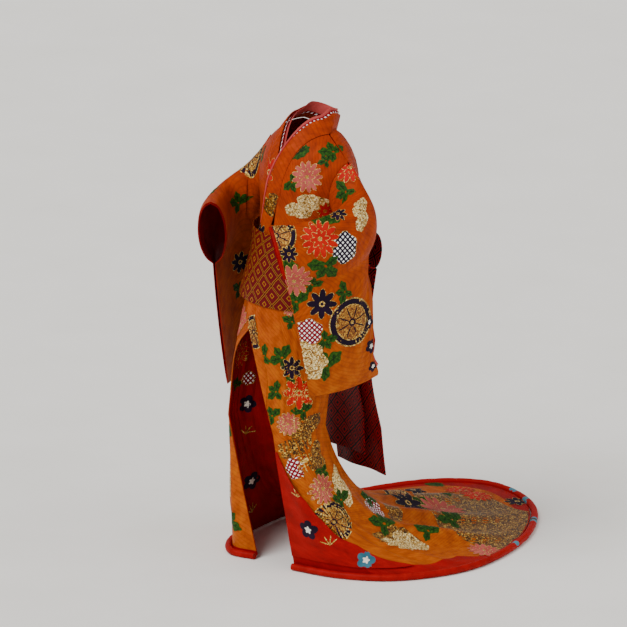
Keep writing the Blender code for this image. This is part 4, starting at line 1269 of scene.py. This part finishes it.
def strewn_lines():
    """Lines by which the strewn figures reach the cloth: level round the hidden sides, down on the train."""
    lines, count = [], 0
    height, row = HIGH, 0
    while height > LOW:
        azimuth = ROUND_FROM + ROUND_STEP * 0.5 * (row % 2)
        while azimuth < ROUND_TO:
            name, radius = STREWN[count % len(STREWN)]
            angle = math.radians(azimuth + uneven(count, 1.7, 8.0))
            outward = Vector((math.sin(angle), -math.cos(angle), 0.0))
            start = outward * OUTSIDE + Vector((0.0, -0.05, height + uneven(count, 2.4, 0.02)))
            lines.append((name, start, -outward, UPWARD, radius, uneven(count, 3.1, 40.0)))
            azimuth += ROUND_STEP
            count += 1
        height -= DOWN_STEP
        row += 1
    y, row = TRAIN_Y[0], 0
    while y < TRAIN_Y[1]:
        x = TRAIN_X[0] + TRAIN_STEP * 0.5 * (row % 2)
        while x < TRAIN_X[1]:
            name, radius = STREWN[count % len(STREWN)]
            start = Vector((x + uneven(count, 2.1, 0.018), y + uneven(count, 1.3, 0.018), 0.0))
            lines.append((name, start, -UPWARD, BACKWARD, radius, uneven(count, 3.1, 60.0)))
            x += TRAIN_STEP
            count += 1
        y += TRAIN_STEP * 0.9
        row += 1
    return lines


UNMARKED = ("cloth_obi", "cloth_furi", "cloth_cuff", "cloth_collar_")      # these pieces carry no figures
APART = ("cloth_sleeve_left", "cloth_sleeve_right", "cloth_lining", "cloth_turnback", "cloth_collar")


def group_of(name):
    """Pieces that run on into one another carry figures together."""
    for start in APART:
        if name.startswith(start):
            return start
    return "robe"


def make_carriers(pieces):
    """One searchable surface for each group of pieces."""
    groups = {}
    for piece in pieces:
        points, faces = groups.setdefault(group_of(piece.name), ([], []))
        start = len(points)
        points += [vertex.co.copy() for vertex in piece.data.vertices]
        faces += [[start + v for v in face.vertices] for face in piece.data.polygons]
    return {name: BVHTree.FromPolygons(points, faces) for name, (points, faces) in groups.items()}


def first_met(carriers, start, way):
    """The nearest surface along a line: where it is met, its outward direction there, and which it is."""
    best = None
    for carrier in carriers.values():
        place, normal, face, distance = carrier.ray_cast(start, way)
        if place and (best is None or distance < best[3]):
            best = (place, normal if normal.dot(way) < 0 else -normal, carrier, distance)
    return best


def rotated(x, y, turn):
    """A place turned round the middle."""
    return x * math.cos(turn) - y * math.sin(turn), x * math.sin(turn) + y * math.cos(turn)


def lay_figure(drawn, figure, base, met, upward, turn):
    """Drops each point of a figure onto its cloth, square to the cloth at the figure's middle."""
    middle, normal, carrier, distance = met
    near = [carrier.ray_cast(middle + normal * DROP + side * NEAR, -normal, 2 * DROP)[1]
            for side in (upward.cross(normal), -upward.cross(normal), normal.cross(upward).cross(normal),
                         -normal.cross(upward).cross(normal))]
    for found in near:
        if found:
            normal = normal + (found if found.dot(met[1]) > 0 else -found)
    normal = normal.normalized()
    across = upward.cross(normal).normalized()
    up = normal.cross(across)
    turned = math.radians(turn)
    for spot in figure:
        points, faces, places = drawn.setdefault(spot.ink, ([], [], []))
        reach = max(spot.long, spot.wide)
        rings = max(2, math.ceil(reach / RING_STEP))
        corners = max(14, 6 * spot.lobes, math.ceil(reach * 4.0 / RING_STEP))
        found = []
        for ring in range(rings + 1):
            share = ring / rings
            for corner in range(corners):
                angle = math.tau * corner / corners
                size = share * (1.0 + spot.depth * math.cos(spot.lobes * angle))
                x, y = spot.long * size * math.cos(angle), spot.wide * size * math.sin(angle)
                x, y = rotated(x, y, spot.turn)
                x, y = rotated(spot.x + x, spot.y + y, turned)
                start = middle + across * x + up * y + normal * DROP
                place, out = carrier.ray_cast(start, -normal, 2 * DROP)[:2]
                if place is None or abs(out.dot(normal)) < STEEP:
                    found.append(None)
                    continue
                out = out if out.dot(normal) > 0 else -out
                found.append(len(points))
                points.append(place + out * (FIGURE_LIFT + LAYER_LIFT * (base + spot.layer)))
                places.append((x, y))
        for ring in range(rings):
            for corner in range(corners):
                a, b = ring * corners + corner, ring * corners + (corner + 1) % corners
                face = [found[a], found[a + corners], found[b + corners], found[b]]
                if None not in face:
                    faces.append(face)


def make_figures(pieces, inks, sight):
    """Draws the figures that the photograph shows and the strewn ones, and joins them by ink."""
    right, up, back = sight
    carriers = make_carriers([piece for piece in pieces if not piece.name.startswith(UNMARKED)])
    drawn, placed = {}, []
    seen = [(name, pixel_place(pixel_x, pixel_y, right, up) + back * EYE_BACK, -back, up, radius, turn)
            for name, places in SEEN.items() for pixel_x, pixel_y, radius, turn in places]
    for lines, apart in ((seen, 0.0), (strewn_lines(), STREWN_APART)):
        for name, start, way, upward, radius, turn in lines:
            draw, ink, base = FIGURES[name]
            met = first_met(carriers, start, way)
            if met and all((met[0] - place).length >= apart * (radius + size) for place, size in placed):
                placed.append((met[0], radius))
                lay_figure(drawn, draw(ink, radius), base, met, upward, turn)
    for ink, (points, faces, places) in drawn.items():
        mesh = bpy.data.meshes.new("figures_" + ink)
        mesh.from_pydata(points, [], faces)
        laid = mesh.uv_layers.new(name="weave").data
        for loop in mesh.loops:
            laid[loop.index].uv = places[loop.vertex_index]
        mesh.shade_smooth()
        mesh.materials.append(inks[ink])
        made = linked("figures_" + ink, mesh)
        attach(made, "root")


# The floor, the light and the view

SUNS = (
    # name, sideways, upward, backward, softness, strength
    ("key", -0.8, 1.0, 1.0, 0.60, 2.6),
    ("fill", 1.2, 0.5, 1.0, 0.90, 0.7),
)
ROOM_STRENGTH = 0.60


def sight_lines():
    """The view's right, up and backward directions."""
    a, e = math.radians(AZIMUTH), math.radians(ELEVATION)
    back = Vector((math.sin(a) * math.cos(e), -math.cos(a) * math.cos(e), math.sin(e)))
    right = Vector((math.cos(a), math.sin(a), 0.0))
    return right, back.cross(right), back


def pixel_place(pixel_x, pixel_y, right, up):
    """Where a place in the photograph lies, in the plane through the feet that faces the view."""
    return right * ((pixel_x - FEET_PX) * PIXEL) + up * ((FEET_PY - pixel_y) * PIXEL) - HELD_AT


def make_studio(sight):
    """A pale floor in even room light with two soft suns, and the camera of the photograph's view."""
    right, up, back = sight
    world = bpy.data.worlds.new("soft_room")
    bpy.context.scene.world = world
    world.use_nodes = True
    room = world.node_tree.nodes["Background"]
    room.inputs["Color"].default_value = linear("#F4F1EC")
    room.inputs["Strength"].default_value = ROOM_STRENGTH
    bpy.ops.mesh.primitive_plane_add(size=24.0, location=(0.0, 0.0, -HELD_AT.z - 0.0005))
    floor = bpy.context.object
    floor.name = "pale_floor"
    material, tree, shader = start_material("pale_paper_floor", 0.85)
    grain = add(tree, "TexNoise", {"Scale": 90.0, "Detail": 3.0})
    shade = add(tree, "ValToRGB", {"Fac": grain.outputs["Fac"]},
                stops=((0.3, "#F6F4EF"), (0.7, "#FAF8F4")))
    tree.links.new(shade.outputs["Color"], shader.inputs["Base Color"])
    floor.data.materials.append(material)
    for name, sideways, upward, backward, softness, strength in SUNS:
        lamp = bpy.data.lights.new(name, "SUN")
        lamp.angle, lamp.energy = softness, strength
        away = right * sideways + up * upward + back * backward
        linked(name, lamp).rotation_euler = away.to_track_quat("Z", "Y").to_euler()
    camera = bpy.data.cameras.new("camera")
    camera.type = "ORTHO"
    camera.ortho_scale = IMAGE * PIXEL
    eye = linked("camera", camera)
    eye.location = pixel_place(IMAGE / 2, IMAGE / 2, right, up) + back * EYE_BACK
    eye.rotation_euler = back.to_track_quat("Z", "Y").to_euler()
    bpy.context.scene.camera = eye


def main():
    inks = make_inks()
    pieces = []
    pieces += make_panels(inks)
    pieces += [make_turnback(inks)]
    pieces += make_collars(inks)
    pieces += make_sleeves(inks)
    pieces += make_obi(inks)
    pieces += make_knot(inks)
    make_hem_roll(inks)
    sight = sight_lines()
    make_figures(pieces, inks, sight)
    make_studio(sight)


main()
